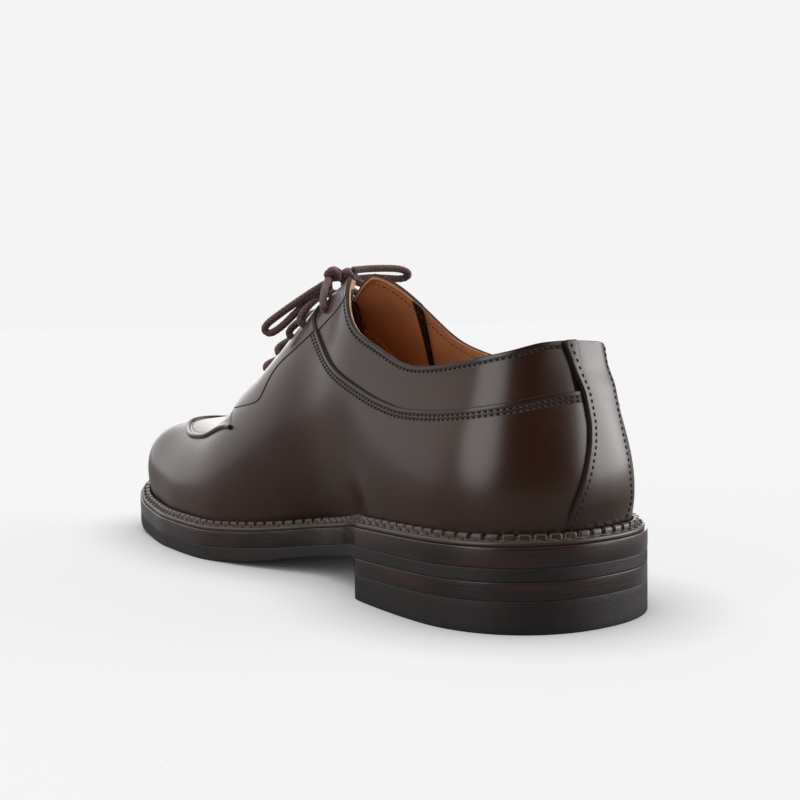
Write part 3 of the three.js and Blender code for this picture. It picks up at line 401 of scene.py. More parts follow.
class Last:
    """The upper's surface with its bends eased, read between the points of its grid."""

    def __init__(self):
        self.feet = even_stations(COLUMNS)
        ups = np.linspace(0, 1, ROWS + 1)
        step = OUTSOLE_LENGTH * 1.1 / COLUMNS
        both = [drawn_points(self.feet[:, None], side, ups[None]) for side in (1.0, -1.0)]
        calm = smooth((self.feet - 0.12) / 0.12) * smooth((0.93 - self.feet) / 0.12)
        share = calm[:, None] * smooth((ups[None] - 0.02) / 0.25)
        both = [p + (eased(p, EASE_REACH / step) - p) * share[..., None] for p in both]
        over = np.concatenate([both[0], both[1][:, -2::-1]], 1).transpose(1, 0, 2)
        rounded = eased(over, CREST_REACH)
        near = 1 - smooth(np.abs(np.arange(len(over)) - ROWS) / (3 * CREST_REACH))
        over += (rounded - over) * (near[:, None] * smooth((self.feet - 0.4) / 0.06)[None])[..., None]
        over = over.transpose(1, 0, 2)
        self.points = {1: over[:, : ROWS + 1], -1: over[:, ROWS:][:, ::-1]}
        self.normals = {}
        for side in (1, -1):
            climb, travel = (np.gradient(self.points[side], axis=k) for k in (1, 0))
            self.normals[side] = unit(np.cross(climb, travel) * side)
        for place in ((slice(None), -1), (0, slice(None)), (-1, slice(None))):
            shared = unit(self.normals[1][place] + self.normals[-1][place])
            apart = self.points[1][place] - self.points[-1][place]
            closed = np.linalg.norm(apart, axis=-1, keepdims=True) < 0.5
            for side in (1, -1):
                self.normals[side][place] = np.where(closed, shared, self.normals[side][place])

    def read(self, grids, foot, side, up):
        foot, side, up = np.broadcast_arrays(*(np.asarray(v, float) for v in (foot, side, up)))
        x = np.interp(foot, self.feet, np.arange(COLUMNS + 1))
        y = np.clip(up, 0, 1) * ROWS
        i, j = np.minimum(x.astype(int), COLUMNS - 1), np.minimum(y.astype(int), ROWS - 1)
        s, t = (x - i)[..., None], (y - j)[..., None]
        found = []
        for grid in (grids[1], grids[-1]):
            low = grid[i, j] * (1 - s) + grid[i + 1, j] * s
            high = grid[i, j + 1] * (1 - s) + grid[i + 1, j + 1] * s
            found.append(low * (1 - t) + high * t)
        return np.where(side[..., None] > 0, *found)


last = Last()


def last_points(foot, side, up):
    return last.read(last.points, foot, side, up)


def last_normals(foot, side, up):
    return unit(last.read(last.normals, foot, side, up))


def tab_bulge(point):
    """The quarters swell a little where their tabs lie over the apron."""
    behind = smooth((y_of(TAB_REACH["back"]) - point[..., 1]) / TAB_REACH["back_blend"])
    before = smooth((point[..., 1] - y_of(TAB_REACH["front"])) / TAB_REACH["front_blend"])
    reach = TAB_REACH["half"] * BALL_WIDTH - np.abs(point[..., 0] - crest(along_of(point[..., 1])))
    return TAB_BULGE * behind * before * smooth(reach / TAB_REACH["side_blend"])


def surface_at(distance, y, side):
    """Where the upper's surface is at distances from the crest, with the way out of it."""
    distance, y = np.broadcast_arrays(np.asarray(distance, float), np.asarray(y, float))
    foot = along_of(y).copy()
    up = np.ones_like(foot)
    for _ in range(4):
        low, high = np.full_like(foot, 0.3), np.ones_like(foot)
        for _ in range(24):
            up = (low + high) / 2
            across = side * (last_points(foot, side, up)[..., 0] - crest(along_of(y)))
            low, high = np.where(across > distance, up, low), np.where(across > distance, high, up)
        up = np.where(distance > 0, up, 1.0)
        foot = foot - (y - last_points(foot, side, up)[..., 1]) / OUTSOLE_LENGTH
    return last_points(foot, side, up), last_normals(foot, side, up)


def over_surface(distance, y, side, offset):
    """A point over the panels, at a distance from the crest."""
    point, normal = surface_at(distance, y, side)
    return point + normal * (offset + tab_bulge(point))[..., None]


class Surface:
    """The last's surface as a grid that closes round the foot, for cutting panels out of."""

    def __init__(self):
        feet = even_stations(COLUMNS)
        self.foot = np.concatenate([feet, feet[::-1][1:]])[:, None]
        self.side = np.concatenate([np.ones(COLUMNS + 1), -np.ones(COLUMNS)])[:, None]
        self.up = np.concatenate([[-1.0], np.linspace(0, 1, ROWS + 1)])[None, :]
        self.foot, self.side, self.up = (a.copy() for a in np.broadcast_arrays(self.foot, self.side, self.up))
        self.points = self.at(self.foot, self.side, self.up)

    @staticmethod
    def at(foot, side, up, offset=0.0, normals=False):
        """Points at an offset, which is a number or a function of the bare points. Under 0, up is a drop."""
        bare = last_points(foot, side, np.clip(up, 0, 1))
        way = last_normals(foot, side, np.clip(up, 0, 1))
        amount = offset(bare) if callable(offset) else np.full(bare.shape[:-1], float(offset))
        points = bare + way * amount[..., None]
        points[..., 2] -= np.clip(-up, 0, 1) * DROP
        return (points, way) if normals else points

    def spread(self, field):
        """The field divided by its slope over the surface, so that it reads as a distance near its edge."""
        along, across = (np.gradient(self.points, axis=k) for k in (0, 1))
        fa, fb = (np.gradient(field, axis=k) for k in (0, 1))
        aa, bb, ab = (np.sum(p * q, -1) for p, q in ((along, along), (across, across), (along, across)))
        area = np.maximum(aa * bb - ab * ab, 1e-9)
        slope = np.sqrt(np.maximum((bb * fa**2 - 2 * ab * fa * fb + aa * fb**2) / area, 1e-6))
        return field / np.clip(slope, 0.25, 4)


def line_distance(points, line):
    """The distance of points in a plane from an open line through points."""
    best = np.full(points.shape[:-1], np.inf)
    for a, b in zip(line[:-1], line[1:]):
        step = b - a
        share = np.clip(((points - a) @ step) / max(step @ step, 1e-12), 0, 1)
        best = np.minimum(best, np.linalg.norm(points - a - share[..., None] * step, axis=-1))
    return best


def above_line(points, side, table, ease, count=96):
    """How far points lie above a line seen from the side; each side of the shoe may have its own line."""
    found = np.zeros(points.shape[:-1])
    names = ("height", "height") if "height" in table else ("inner", "outer")
    for name, chosen in zip(names, (side > 0, side < 0)):
        height = softened(table, name, ease)
        alongs = np.linspace(table["along"][0], table["along"][-1], count + 1)
        line = np.stack([y_of(alongs), height(alongs) * UPPER_RISE], -1)
        seen = points[..., 1:]
        sign = np.where(seen[..., 1] > height(along_of(seen[..., 0])) * UPPER_RISE, 1, -1)
        found = np.where(chosen, sign * line_distance(seen, line), found)
    return found


def plan_spline(table, side, count=12):
    """A smooth curve in plan through a table's rows at one side of the crest."""
    rows = np.stack([side * np.array(table["across"]) * BALL_WIDTH, y_of(table["along"])], -1)
    return follow(rows, count)


def follow(points, count):
    """A Catmull-Rom curve through points, with so many steps between two of them."""
    p = np.asarray(points, float)
    ends = np.concatenate([[2 * p[0] - p[1]], p, [2 * p[-1] - p[-2]]])
    t = (np.arange(count) / count)[:, None]
    found = []
    for a, b, c, d in zip(ends, ends[1:], ends[2:], ends[3:]):
        found.append(0.5 * (2 * b + (c - a) * t + (2 * a - 5 * b + 4 * c - d) * t**2
                            + (3 * b - a - 3 * c + d) * t**3))
    return np.concatenate([*found, p[-1:]])


def from_crest(line):
    """A plan line given from the crest, as a line in the shoe's own frame."""
    return np.stack([line[:, 0] + crest(along_of(line[:, 1])), line[:, 1]], -1)


def apron_edge():
    """The apron's edge from its inner end round the tip to its outer end."""
    inner = plan_spline(APRON, 1)
    outer = plan_spline(APRON, -1)[::-1]
    return from_crest(np.concatenate([inner, outer[1:]]))


def inside_outline(points, outline):
    """The distance from a closed outline in plan, above zero inside it."""
    ring = np.concatenate([outline, outline[:1]])
    x, y = points[..., 0], points[..., 1]
    within = np.zeros(x.shape, bool)
    for (ax, ay), (bx, by) in zip(ring[:-1], ring[1:]):
        if ay == by:
            continue
        crosses = (ay > y) != (by > y)
        within ^= crosses & (x < (bx - ax) * (y - ay) / (by - ay) + ax)
    return np.where(within, 1, -1) * line_distance(points[..., :2], ring)


def throat_outline(stop):
    """The gap between the facings in plan, as far forward as a share of the length."""
    alongs = np.linspace(THROAT["along"][0] - 0.02, stop, 24)
    inner, outer = (
        np.stack([crest(alongs) + side * throat_half(alongs, side), y_of(alongs)], -1) for side in (1, -1)
    )
    return np.concatenate([inner, outer[::-1]])


def apron_window():
    """The opening in the panels that the apron shows through, in front of the tabs."""
    inner = from_crest(plan_spline(TAB_FRONT, 1))
    outer = from_crest(plan_spline(TAB_FRONT, -1))
    return np.concatenate([apron_edge(), outer[1:], inner[::-1][:-1]])


# Corners of a grid cell, going round it as seen from outside the shoe.
CELL = ((0, 0), (0, 1), (1, 1), (1, 0))


class Cut:
    """The part of a surface where a field is above a level: faces, places in the grid, and its cut edge."""

    def __init__(self, surface, field, level=0.0):
        values = field - level
        columns, rows = values.shape
        index = np.arange(columns * rows).reshape(columns, rows)
        ring = [index[a : columns - 1 + a, b : rows - 1 + b] for a, b in CELL]
        corners = np.stack(ring, -1).reshape(-1, 4)
        flat = values.ravel()
        signs = flat[corners] >= 0
        count = signs.sum(1)
        self.faces = corners[count == 4].tolist()
        self.cuts = []
        self.cut_edges = []
        places = {}
        for cell in corners[(count > 0) & (count < 4)]:
            face = []
            crossings = []
            for k in range(4):
                a, b = int(cell[k]), int(cell[(k + 1) % 4])
                if flat[a] >= 0:
                    face.append(a)
                if (flat[a] >= 0) != (flat[b] >= 0):
                    key = (a, b) if a < b else (b, a)
                    if key not in places:
                        places[key] = columns * rows + len(self.cuts)
                        share = flat[key[0]] / (flat[key[0]] - flat[key[1]])
                        self.cuts.append((key[0], key[1], share))
                    face.append(places[key])
                    crossings.append((places[key], flat[a] >= 0))
            if len(crossings) == 2:
                leaving = next(v for v, out in crossings if out)
                entering = next(v for v, out in crossings if not out)
                self.cut_edges.append((leaving, entering))
            self.faces.append(face)
        used = sorted({v for face in self.faces for v in face})
        self.order = {v: i for i, v in enumerate(used)}
        self.faces = [[self.order[v] for v in face] for face in self.faces]
        self.cut_edges = [
            (self.order[a], self.order[b]) for a, b in self.cut_edges if a in self.order and b in self.order
        ]
        grid = [g.ravel() for g in (surface.foot, surface.side, surface.up)]
        whole = np.array([v for v in used if v < columns * rows], int)
        cut = np.array([self.cuts[v - columns * rows] for v in used if v >= columns * rows]).reshape(-1, 3)
        a, b, share = cut[:, 0].astype(int), cut[:, 1].astype(int), cut[:, 2]
        at_tip = grid[0][a] > 1 - 1e-9
        self.foot, self.up = (
            np.concatenate([g[whole], g[a] * (1 - share) + g[b] * share]) for g in (grid[0], grid[2])
        )
        self.side = np.concatenate([grid[1][whole], np.where(at_tip, grid[1][b], grid[1][a])])
        self.weights = (whole, a, b, share)

    def read(self, field):
        """A field's values at this cut's own points."""
        whole, a, b, share = self.weights
        flat = field.ravel()
        return np.concatenate([flat[whole], flat[a] * (1 - share) + flat[b] * share])


def join_chains(edges):
    """Edges joined end to end into lines. A closed line repeats its first point."""
    after = dict(edges)
    befores = {b for _, b in edges}
    lines = []
    for start in sorted(after, key=lambda v: (v in befores, v)):
        if start not in after:
            continue
        line = [start]
        while line[-1] in after:
            line.append(after.pop(line[-1]))
        lines.append(line)
    return lines


def merge_twins(points):
    """For each point, the index of the first point at the same place."""
    _, first, twin = np.unique(np.round(points, 3), axis=0, return_index=True, return_inverse=True)
    return first[twin.ravel()]


# A panel's rounded edge, in radians from its outside to square with it.
RIM_TURNS = (0.35, 0.75, 1.15, math.pi / 2)


def dressed(cut, offset, thickness, radius, spare):
    """A panel as points, faces and edge distances: its outside, with a rounded edge turned in."""
    points, normals = surface.at(cut.foot, cut.side, cut.up, offset, normals=True)
    twin = merge_twins(points)
    faces = []
    for face in cut.faces:
        corners = [int(twin[v]) for v in face]
        kept = [v for i, v in enumerate(corners) if v != corners[i - 1]]
        if len(kept) > 2:
            faces.append(kept)
    edges = [(int(twin[a]), int(twin[b])) for a, b in cut.cut_edges if twin[a] != twin[b]]
    points, spare = list(points), list(spare)
    for line in join_chains(edges):
        closed = line[0] == line[-1] and len(line) > 3
        ids = line[:-1] if closed else line
        place = np.array([points[v] for v in ids])
        way = np.array([normals[v] for v in ids])
        before, after = np.roll(place, 1, 0), np.roll(place, -1, 0)
        if not closed:
            before[0], after[-1] = place[0], place[-1]
        out = unit(np.cross(unit(after - before), way))
        rows = [ids]
        rims = [(radius * math.sin(turn), radius * (1 - math.cos(turn))) for turn in RIM_TURNS]
        for k, (outward, inward) in enumerate((*rims, (radius, thickness))):
            rows.append(list(range(len(points), len(points) + len(ids))))
            points.extend(place + out * outward - way * inward)
            spare.extend([-0.3 - 0.3 * k] * len(ids))
        span = len(ids) if closed else len(ids) - 1
        for upper, lower in zip(rows, rows[1:]):
            for i in range(span):
                j = (i + 1) % len(ids)
                faces.append([upper[j], upper[i], lower[i], lower[j]])
    return np.array(points), faces, np.array(spare)


def make_object(name, points, faces, attributes=None):
    """A mesh object from points in millimetres in the shape's own frame, moved to the shoe's origin."""
    used = sorted({v for face in faces for v in face})
    order = {v: i for i, v in enumerate(used)}
    mesh = bpy.data.meshes.new(name)
    places = (np.asarray(points, float)[used] + [SHIFT, 0, 0]) * MM
    mesh.from_pydata(places.tolist(), [], [[order[v] for v in face] for face in faces])
    for key, values in (attributes or {}).items():
        mesh.attributes.new(key, "FLOAT", "POINT").data.foreach_set("value", np.asarray(values, float)[used])
    mesh.polygons.foreach_set("use_smooth", np.full(len(mesh.polygons), True))
    mesh.update()
    obj = bpy.data.objects.new(name, mesh)
    bpy.context.scene.collection.objects.link(obj)
    return obj


def finish_piece(obj, slot, *nodes, look=None):
    """Gives a finished piece its look and its body, and hides the solids that it stands for; the slot is not
    used.
    """
    if look is not None:
        obj.data.materials.clear()
        obj.data.materials.append(look)
    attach(obj, "root")
    if nodes:
        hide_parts(*nodes)
    return obj


surface = Surface()
plan_x, plan_y, height_z = (surface.points[..., k] for k in range(3))


class Edges:
    """Distances on the surface from the edges that the panels are cut along."""

    topline = surface.spread(above_line(surface.points, surface.side, TOPLINE, 0.012))
    lap = surface.spread(above_line(surface.points, surface.side, LAP_LINE, 0.009))
    facing = surface.spread(above_line(surface.points, surface.side, FACING_LINE, 0.003))
    window = surface.spread(inside_outline(surface.points, apron_window()))
    throat = surface.spread(inside_outline(surface.points, throat_outline(0.72)))
    apron = surface.spread(inside_outline(surface.points, np.concatenate(
        [[apron_edge()[0] + [0, 12]], apron_edge(), [apron_edge()[-1] + [0, 12]]])))
    strip = np.minimum(*(
        strip_shares[side](height_z / UPPER_RISE) * BALL_WIDTH - side * plan_x for side in (1, -1)))
    front_lining = surface.spread(-above_line(surface.points, surface.side, LINING_SEAM, 0.006))
    behind = plan_y - y_of(0.2)


class Value:
    """A number socket that takes part in Python arithmetic by adding Math nodes."""

    def __init__(self, look, socket):
        self.look = look
        self.socket = socket

    def __add__(self, other):
        return self.look.math("ADD", self, other)

    def __mul__(self, other):
        return self.look.math("MULTIPLY", self, other)

    def __sub__(self, other):
        return self.look.math("SUBTRACT", self, other)

    def __rsub__(self, other):
        return self.look.math("SUBTRACT", other, self)

    def __abs__(self):
        return self.look.math("ABSOLUTE", self)

    __radd__ = __add__
    __rmul__ = __mul__

    def ramp(self, low, high):
        """0 under low and 1 over high, and smooth between; low may be the greater."""
        return self.look.output_of(
            "MapRange",
            {"interpolation_type": "SMOOTHSTEP"},
            {"Value": self, "From Min": low, "From Max": high},
        )

    def hill(self, centre, width):
        """1 at the centre, down to 0 a width away on both sides."""
        return 1 - abs(self - centre).ramp(0.0, width)


class Look:
    """A material with one Principled shader, whose nodes are added by expressions."""

    def __init__(self, name):
        self.material = bpy.data.materials.new(name)
        self.material.use_nodes = True
        self.tree = self.material.node_tree
        self.tree.nodes.clear()
        self.shader = self.node("BsdfPrincipled")
        self.node("OutputMaterial", inputs={"Surface": self.shader.outputs[0]})

    def feed(self, socket, value):
        if isinstance(value, Value):
            value = value.socket
        if isinstance(value, bpy.types.NodeSocket):
            self.tree.links.new(value, socket)
        else:
            socket.default_value = value

    def node(self, kind, settings=None, inputs=None):
        node = self.tree.nodes.new("ShaderNode" + kind)
        for key, value in (settings or {}).items():
            setattr(node, key, value)
        for key, value in (inputs or {}).items():
            self.feed(node.inputs[key], value)
        return node

    def output_of(self, kind, settings=None, inputs=None, output=0):
        return Value(self, self.node(kind, settings, inputs).outputs[output])

    def math(self, operation, *values):
        return self.output_of("Math", {"operation": operation}, dict(enumerate(values)))

    def place(self, stretch=(1, 1, 1)):
        """Object coordinates in millimetres, each direction divided by its stretch."""
        at = self.node("TexCoord").outputs["Object"]
        scale = tuple(1 / (MM * s) for s in stretch)
        return self.node("Mapping", inputs={"Vector": at, "Scale": scale}).outputs[0]

    def noise(self, size, detail=3.0, roughness=0.55, at=None):
        """Noise from 0 to 1 whose lumps are so many millimetres across."""
        inputs = {"Vector": at or self.place(), "Scale": 1 / size, "Detail": detail, "Roughness": roughness}
        return self.output_of("TexNoise", None, inputs)

    def cells(self, size, feature="F1"):
        """Distances from the middles of cells that are so many millimetres across."""
        inputs = {"Vector": self.place(), "Scale": 1 / size}
        return self.output_of("TexVoronoi", {"feature": feature}, inputs)

    def attribute(self, name):
        return self.output_of("Attribute", {"attribute_name": name}, output=2)

    def mix(self, share, low, high):
        """A colour between two colours."""
        node = self.node("Mix", {"data_type": "RGBA"}, {0: share})
        self.feed(node.inputs[6], low)
        self.feed(node.inputs[7], high)
        return node.outputs[2]

    def bump(self, height, depth):
        """A normal from heights, where depth is the millimetres between height 0 and 1."""
        inputs = {"Height": height, "Distance": depth * MM, "Strength": 1.0}
        return self.node("Bump", inputs=inputs).outputs[0]

    def finish(self, **sockets):
        for key, value in sockets.items():
            self.feed(self.shader.inputs[key.replace("_", " ").title().replace("Ior", "IOR")], value)
        return self.material


def tone(red, green, blue):
    """A colour from display values between 0 and 255."""
    return tuple(round(((c / 255 + 0.055) / 1.055) ** 2.4, 5) if c > 10 else c / 255 / 12.92
                 for c in (red, green, blue)) + (1.0,)


def shade(colour, factor):
    """A colour made darker or lighter."""
    return tuple(c * factor for c in colour[:3]) + (1.0,)


def polished_leather(name, colour, seams=(), gloss=0.3, dark=0.3):
    """Dyed calf: fine grain, soft patches, inked edges, darker polish and painted shade by edges, and sunk
    stitch rows.
    """
    look = Look(name)
    edge = look.attribute("edge")
    seam = look.attribute("seam")
    patches = look.noise(34, 2.0)
    fine = look.noise(3.2, 2.0)
    grain = look.cells(0.75, "SMOOTH_F1") * 0.55 + look.noise(0.42, 2.0) * 0.45
    # Darker by each edge: darker polish over about five millimetres, and within a millimetre of the edge
    # painted shade for the shadow beside lapped edges and the apron's bead.
    polish_and_shade = (1 - edge.ramp(-0.1, 5.0)) * 0.25 + (1 - edge.ramp(0.0, 1.1)) * 0.45
    ink = 1 - edge.ramp(-0.25, 0.25)
    mottled = look.mix(patches.ramp(0.3, 0.7) * 0.8 + fine * 0.2, shade(colour, 0.82), shade(colour, 1.18))
    polished = look.mix(polish_and_shade, mottled, shade(colour, dark))
    coloured = look.mix(ink, polished, shade(colour, 0.1))
    height = grain * 0.02 + look.noise(5.5, 2.0) * 0.025 + look.noise(16, 2.0) * 0.05
    for centre in seams:
        height = height - seam.hill(centre, 0.75) * 0.22
    rough = gloss + (fine - 0.5) * 0.08 + (patches - 0.5) * 0.06 + ink * 0.45
    return look.finish(
        base_color=coloured,
        roughness=rough,
        specular_ior_level=0.5,
        coat_weight=0.2 * (1 - ink),
        coat_roughness=0.16,
        normal=look.bump(height, 1.0),
    )


def lining_leather(name, colour, bound=0.0):
    """Undyed calf lining: matt, with fine pores and handling marks, and a near-black band of painted shadow
    along an edge.
    """
    look = Look(name)
    edge = look.attribute("edge")
    patches = look.noise(22, 3.0)
    pores = look.cells(0.6)
    base = look.mix(patches.ramp(0.25, 0.75), shade(colour, 0.8), shade(colour, 1.12))
    raw = look.mix((1 - edge.ramp(0.0, 0.9)) * 0.8, base, shade(colour, 1.35))
    # Painted shadow: a near-black band within the given width of the edge.
    if bound:
        raw = look.mix(edge.ramp(bound - 0.2, bound + 0.2), shade(colour, 0.03), base)
    height = pores * 0.05 + look.noise(0.9, 3.0) * 0.05
    return look.finish(
        base_color=raw,
        roughness=0.58 + patches * 0.12,
        specular_ior_level=0.35,
        normal=look.bump(height, 1.0),
    )


def sole_edge(name, colour, streaks, gloss=0.22):
    """A waxed leather edge: long streaks of pressed layers under a dark, glossy dye."""
    look = Look(name)
    layers = look.noise(1.0, 3.0, at=look.place((30, 30, 0.7)))
    blots = look.noise(14, 3.0, at=look.place((2.2, 2.2, 0.6)))
    base = look.mix((layers * 0.6 + blots * 0.6).ramp(0.52, 0.74), colour, streaks)
    height = layers * 0.06 + look.noise(1.6, 3.0) * 0.05
    return look.finish(
        base_color=base,
        roughness=gloss + blots * 0.14,
        specular_ior_level=0.5,
        coat_weight=0.4,
        coat_roughness=0.12,
        normal=look.bump(height, 1.0),
    )


def plain_rubber(name, colour):
    """Matt rubber or board, with fine dust and a faint tooth."""
    look = Look(name)
    dust = look.noise(2.2, 4.0)
    base = look.mix(dust.ramp(0.35, 0.75), shade(colour, 0.85), shade(colour, 1.25))
    height = look.noise(0.7, 3.0) * 0.06 + dust * 0.06
    return look.finish(base_color=base, roughness=0.5 + dust * 0.16, normal=look.bump(height, 1.0))


def waxed_thread(name, colour):
    """Thread with its ply showing as darker turns."""
    look = Look(name)
    ply = look.noise(0.35, 2.0)
    base = look.mix(ply, shade(colour, 0.6), shade(colour, 1.3))
    return look.finish(base_color=base, roughness=0.55, normal=look.bump(ply, 0.08))


def braided_cotton(name, colour):
    """Waxed cotton braid, with painted shade where a strand dips under another and painted light on its
    crests.
    """
    look = Look(name)
    fuzz = look.noise(0.22, 3.0)
    strand = look.attribute("braid")
    # Painted shade and light: the colour runs from dark in the braid's dips to light on its crests.
    base = look.mix(strand * 0.75 + fuzz * 0.35, shade(colour, 0.4), shade(colour, 1.45))
    return look.finish(
        base_color=base, roughness=0.82, specular_ior_level=0.25, sheen_weight=0.35, sheen_roughness=0.5,
        normal=look.bump(strand * 0.12 + fuzz * 0.1, 1.0),
    )


UPPER_BROWN = tone(55, 30, 16)
LINING_TAN = tone(192, 136, 94)
EDGE_BROWN = tone(24, 13, 11)
EDGE_RED = tone(52, 22, 19)
RUBBER_BROWN = tone(31, 25, 22)
WELT_BROWN = tone(60, 46, 40)
THREAD_BROWN = tone(20, 13, 12)
LINING_THREAD = tone(120, 70, 40)
WELT_THREAD = tone(84, 56, 52)
LACE_BROWN = tone(96, 72, 70)

# The camera, as the photograph was taken.
LENS = 56.39
SENSOR = 36.0
EYE = (282.96, 417.32, 95.97)
AZIMUTH = 143.07
ELEVATION = 3.6
ROLL = -0.85
RISE_SHIFT = 0.0006
GROUND = 0.904
FLOOR_REACH = 40.0
FLOOR_WHITE = 0.2
FLOOR_GLOW = 0.684
FLOOR_SHADE_REACH = 0.036
FLOOR_DULL = 0.25


def make_stage():
    """A pale floor that runs into the sky, with a painted contact shadow round the shoe, a soft studio sky,
    and the photograph's camera.
    """
    scene = bpy.context.scene
    scene.view_settings.view_transform = "Standard"
    camera = bpy.data.objects.new("camera", bpy.data.cameras.new("camera"))
    scene.collection.objects.link(camera)
    turn, lift, roll = (math.radians(v) for v in (AZIMUTH, ELEVATION, ROLL))
    back = Vector((math.sin(turn) * math.cos(lift), -math.cos(turn) * math.cos(lift), math.sin(lift)))
    level = Vector((math.cos(turn), math.sin(turn), 0))
    upright = back.cross(level)
    right = level * math.cos(roll) + upright * math.sin(roll)
    up = upright * math.cos(roll) - level * math.sin(roll)
    pose = Matrix((right, up, back)).transposed().to_4x4()
    pose.translation = (Vector(EYE) + Vector((SHIFT, 0, 0))) * MM
    camera.matrix_world = pose
    camera.data.lens = LENS
    camera.data.sensor_width = SENSOR
    camera.data.shift_y = RISE_SHIFT
    camera.data.clip_start = 0.01
    scene.camera = camera

    floor_mesh = bpy.data.meshes.new("floor")
    corners = [(x * FLOOR_REACH, y * FLOOR_REACH, 0) for x, y in ((-1, -1), (1, -1), (1, 1), (-1, 1))]
    floor_mesh.from_pydata(corners, [], [(0, 1, 2, 3)])
    floor = bpy.data.objects.new("floor", floor_mesh)
    scene.collection.objects.link(floor)
    look = Look("studio_floor")
    seen = Value(look, look.node("LightPath").outputs["Is Camera Ray"])
    # Painted contact shadow: the floor's glow, which only the camera sees, is dimmed where the AO node finds
    # the shoe near.
    open_sky = look.output_of("AmbientOcclusion", {"samples": 8}, {"Distance": FLOOR_SHADE_REACH}, output=1)
    dull = (FLOOR_DULL,) * 3 + (1,)
    glow = look.mix(open_sky, (0, 0, 0, 1), (FLOOR_GLOW,) * 3 + (1,))
    floor_mesh.materials.append(look.finish(
        base_color=look.mix(seen, dull, (FLOOR_WHITE,) * 3 + (1,)), roughness=1.0, specular_ior_level=0.0,
        emission_color=look.mix(seen, (0, 0, 0, 1), glow), emission_strength=1.0))
    make_sky(scene)


# The studio's light: a dim base, and soft round lamps. Each has a direction, the angles in degrees from
# its middle where it starts to fade and where it ends, and a strength.
SKY_BASE = 0.03
LAMPS = (
    ((-0.05, -0.97, 0.22), 22, 86, 1.25),
    ((0.0, -0.1, 0.99), 12, 52, 1.6),
    ((0.93, 0.0, 0.36), 10, 27, 3.7),
    ((-0.86, 0.5, 0.18), 12, 38, 6.3),
    ((-0.6, -0.8, 0.12), 8, 30, 2.0),
)


def make_sky(scene):
    """The studio's light, and the plain backdrop that only the camera sees."""
    world = bpy.data.worlds.new("studio")
    scene.world = world
    world.use_nodes = True
    tree = world.node_tree
    tree.nodes.clear()
    build = tree.nodes.new

    def put(value, socket):
        if isinstance(value, bpy.types.NodeSocket):
            tree.links.new(value, socket)
        else:
            socket.default_value = value

    way = build("ShaderNodeTexCoord").outputs["Generated"]
    total = SKY_BASE
    for direction, inner, outer, strength in LAMPS:
        dot = build("ShaderNodeVectorMath")
        dot.operation = "DOT_PRODUCT"
        put(way, dot.inputs[0])
        put(Vector(direction).normalized(), dot.inputs[1])
        lamp = build("ShaderNodeMapRange")
        lamp.interpolation_type = "SMOOTHSTEP"
        put(dot.outputs["Value"], lamp.inputs["Value"])
        put(math.cos(math.radians(outer)), lamp.inputs["From Min"])
        put(math.cos(math.radians(inner)), lamp.inputs["From Max"])
        put(strength, lamp.inputs["To Max"])
        add = build("ShaderNodeMath")
        put(lamp.outputs[0], add.inputs[0])
        put(total, add.inputs[1])
        total = add.outputs[0]
    lit, seen = build("ShaderNodeBackground"), build("ShaderNodeBackground")
    put(total, lit.inputs["Strength"])
    put((GROUND, GROUND, GROUND, 1), seen.inputs["Color"])
    mix = build("ShaderNodeMixShader")
    put(build("ShaderNodeLightPath").outputs["Is Camera Ray"], mix.inputs[0])
    put(lit.outputs[0], mix.inputs[1])
    put(seen.outputs[0], mix.inputs[2])
    put(mix.outputs[0], build("ShaderNodeOutputWorld").inputs[0])


# The upper's panels.
PANEL_THICKNESS = 1.3
EDGE_RADIUS = 0.35
STITCH_PITCH = 2.05
STITCH_LENGTH = 1.3
STITCH_WIDTH = 0.7
LINING_THREAD_SHARE = 0.7
BEAD_RADIUS = 1.05
TOPLINE_STITCH = 1.9
LAP_STITCHES = (1.9, 3.3)
STRIP_STITCH = 2.1
STRIP_EASE = 1.1
STRIP_EASE_FROM = 73.0
HIDDEN_LAP = 5.0


def dye(name):
    """A colour as the panel has it."""
    return tuple(getattr(bpy.context.scene.shoe_colours, name))


def measure(name):
    """A size as the panel has it, in millimetres."""
    return getattr(bpy.context.scene.shoe_sizes, name) / MM


def make_panel(name, field, offset, look, edge=None, seam=None):
    """One panel of the upper: where a field is above zero, at an offset, with a rounded edge."""
    cut = Cut(surface, field, EDGE_RADIUS)
    if isinstance(offset, np.ndarray):
        chosen = cut.read(offset)
        offset = lambda at: chosen
    distance = cut.read(field if edge is None else edge)
    points, faces, spare = dressed(cut, offset, measure("panel_thickness"), EDGE_RADIUS, distance)
    attributes = {"edge": spare}
    if seam is not None:
        attributes["seam"] = np.concatenate([cut.read(seam), np.full(len(points) - len(distance), -9.0)])
    obj = make_object(name, points, faces, attributes)
    return finish_piece(obj, "upper_leather", "upper", look=look)


def seam_lines(field, level, offset, within=None):
    """Lines on the surface where a field has a level, kept where another field is above zero."""
    cut = Cut(surface, field, level)
    points = surface.at(cut.foot, cut.side, cut.up, offset)
    twin = merge_twins(points)
    edges = [(int(twin[a]), int(twin[b])) for a, b in cut.cut_edges if twin[a] != twin[b]]
    keep = np.ones(len(points), bool) if within is None else cut.read(within) > 0
    edges = [(a, b) for a, b in edges if keep[a] and keep[b]]
    return [points[line] for line in join_chains(edges) if len(line) > 4]


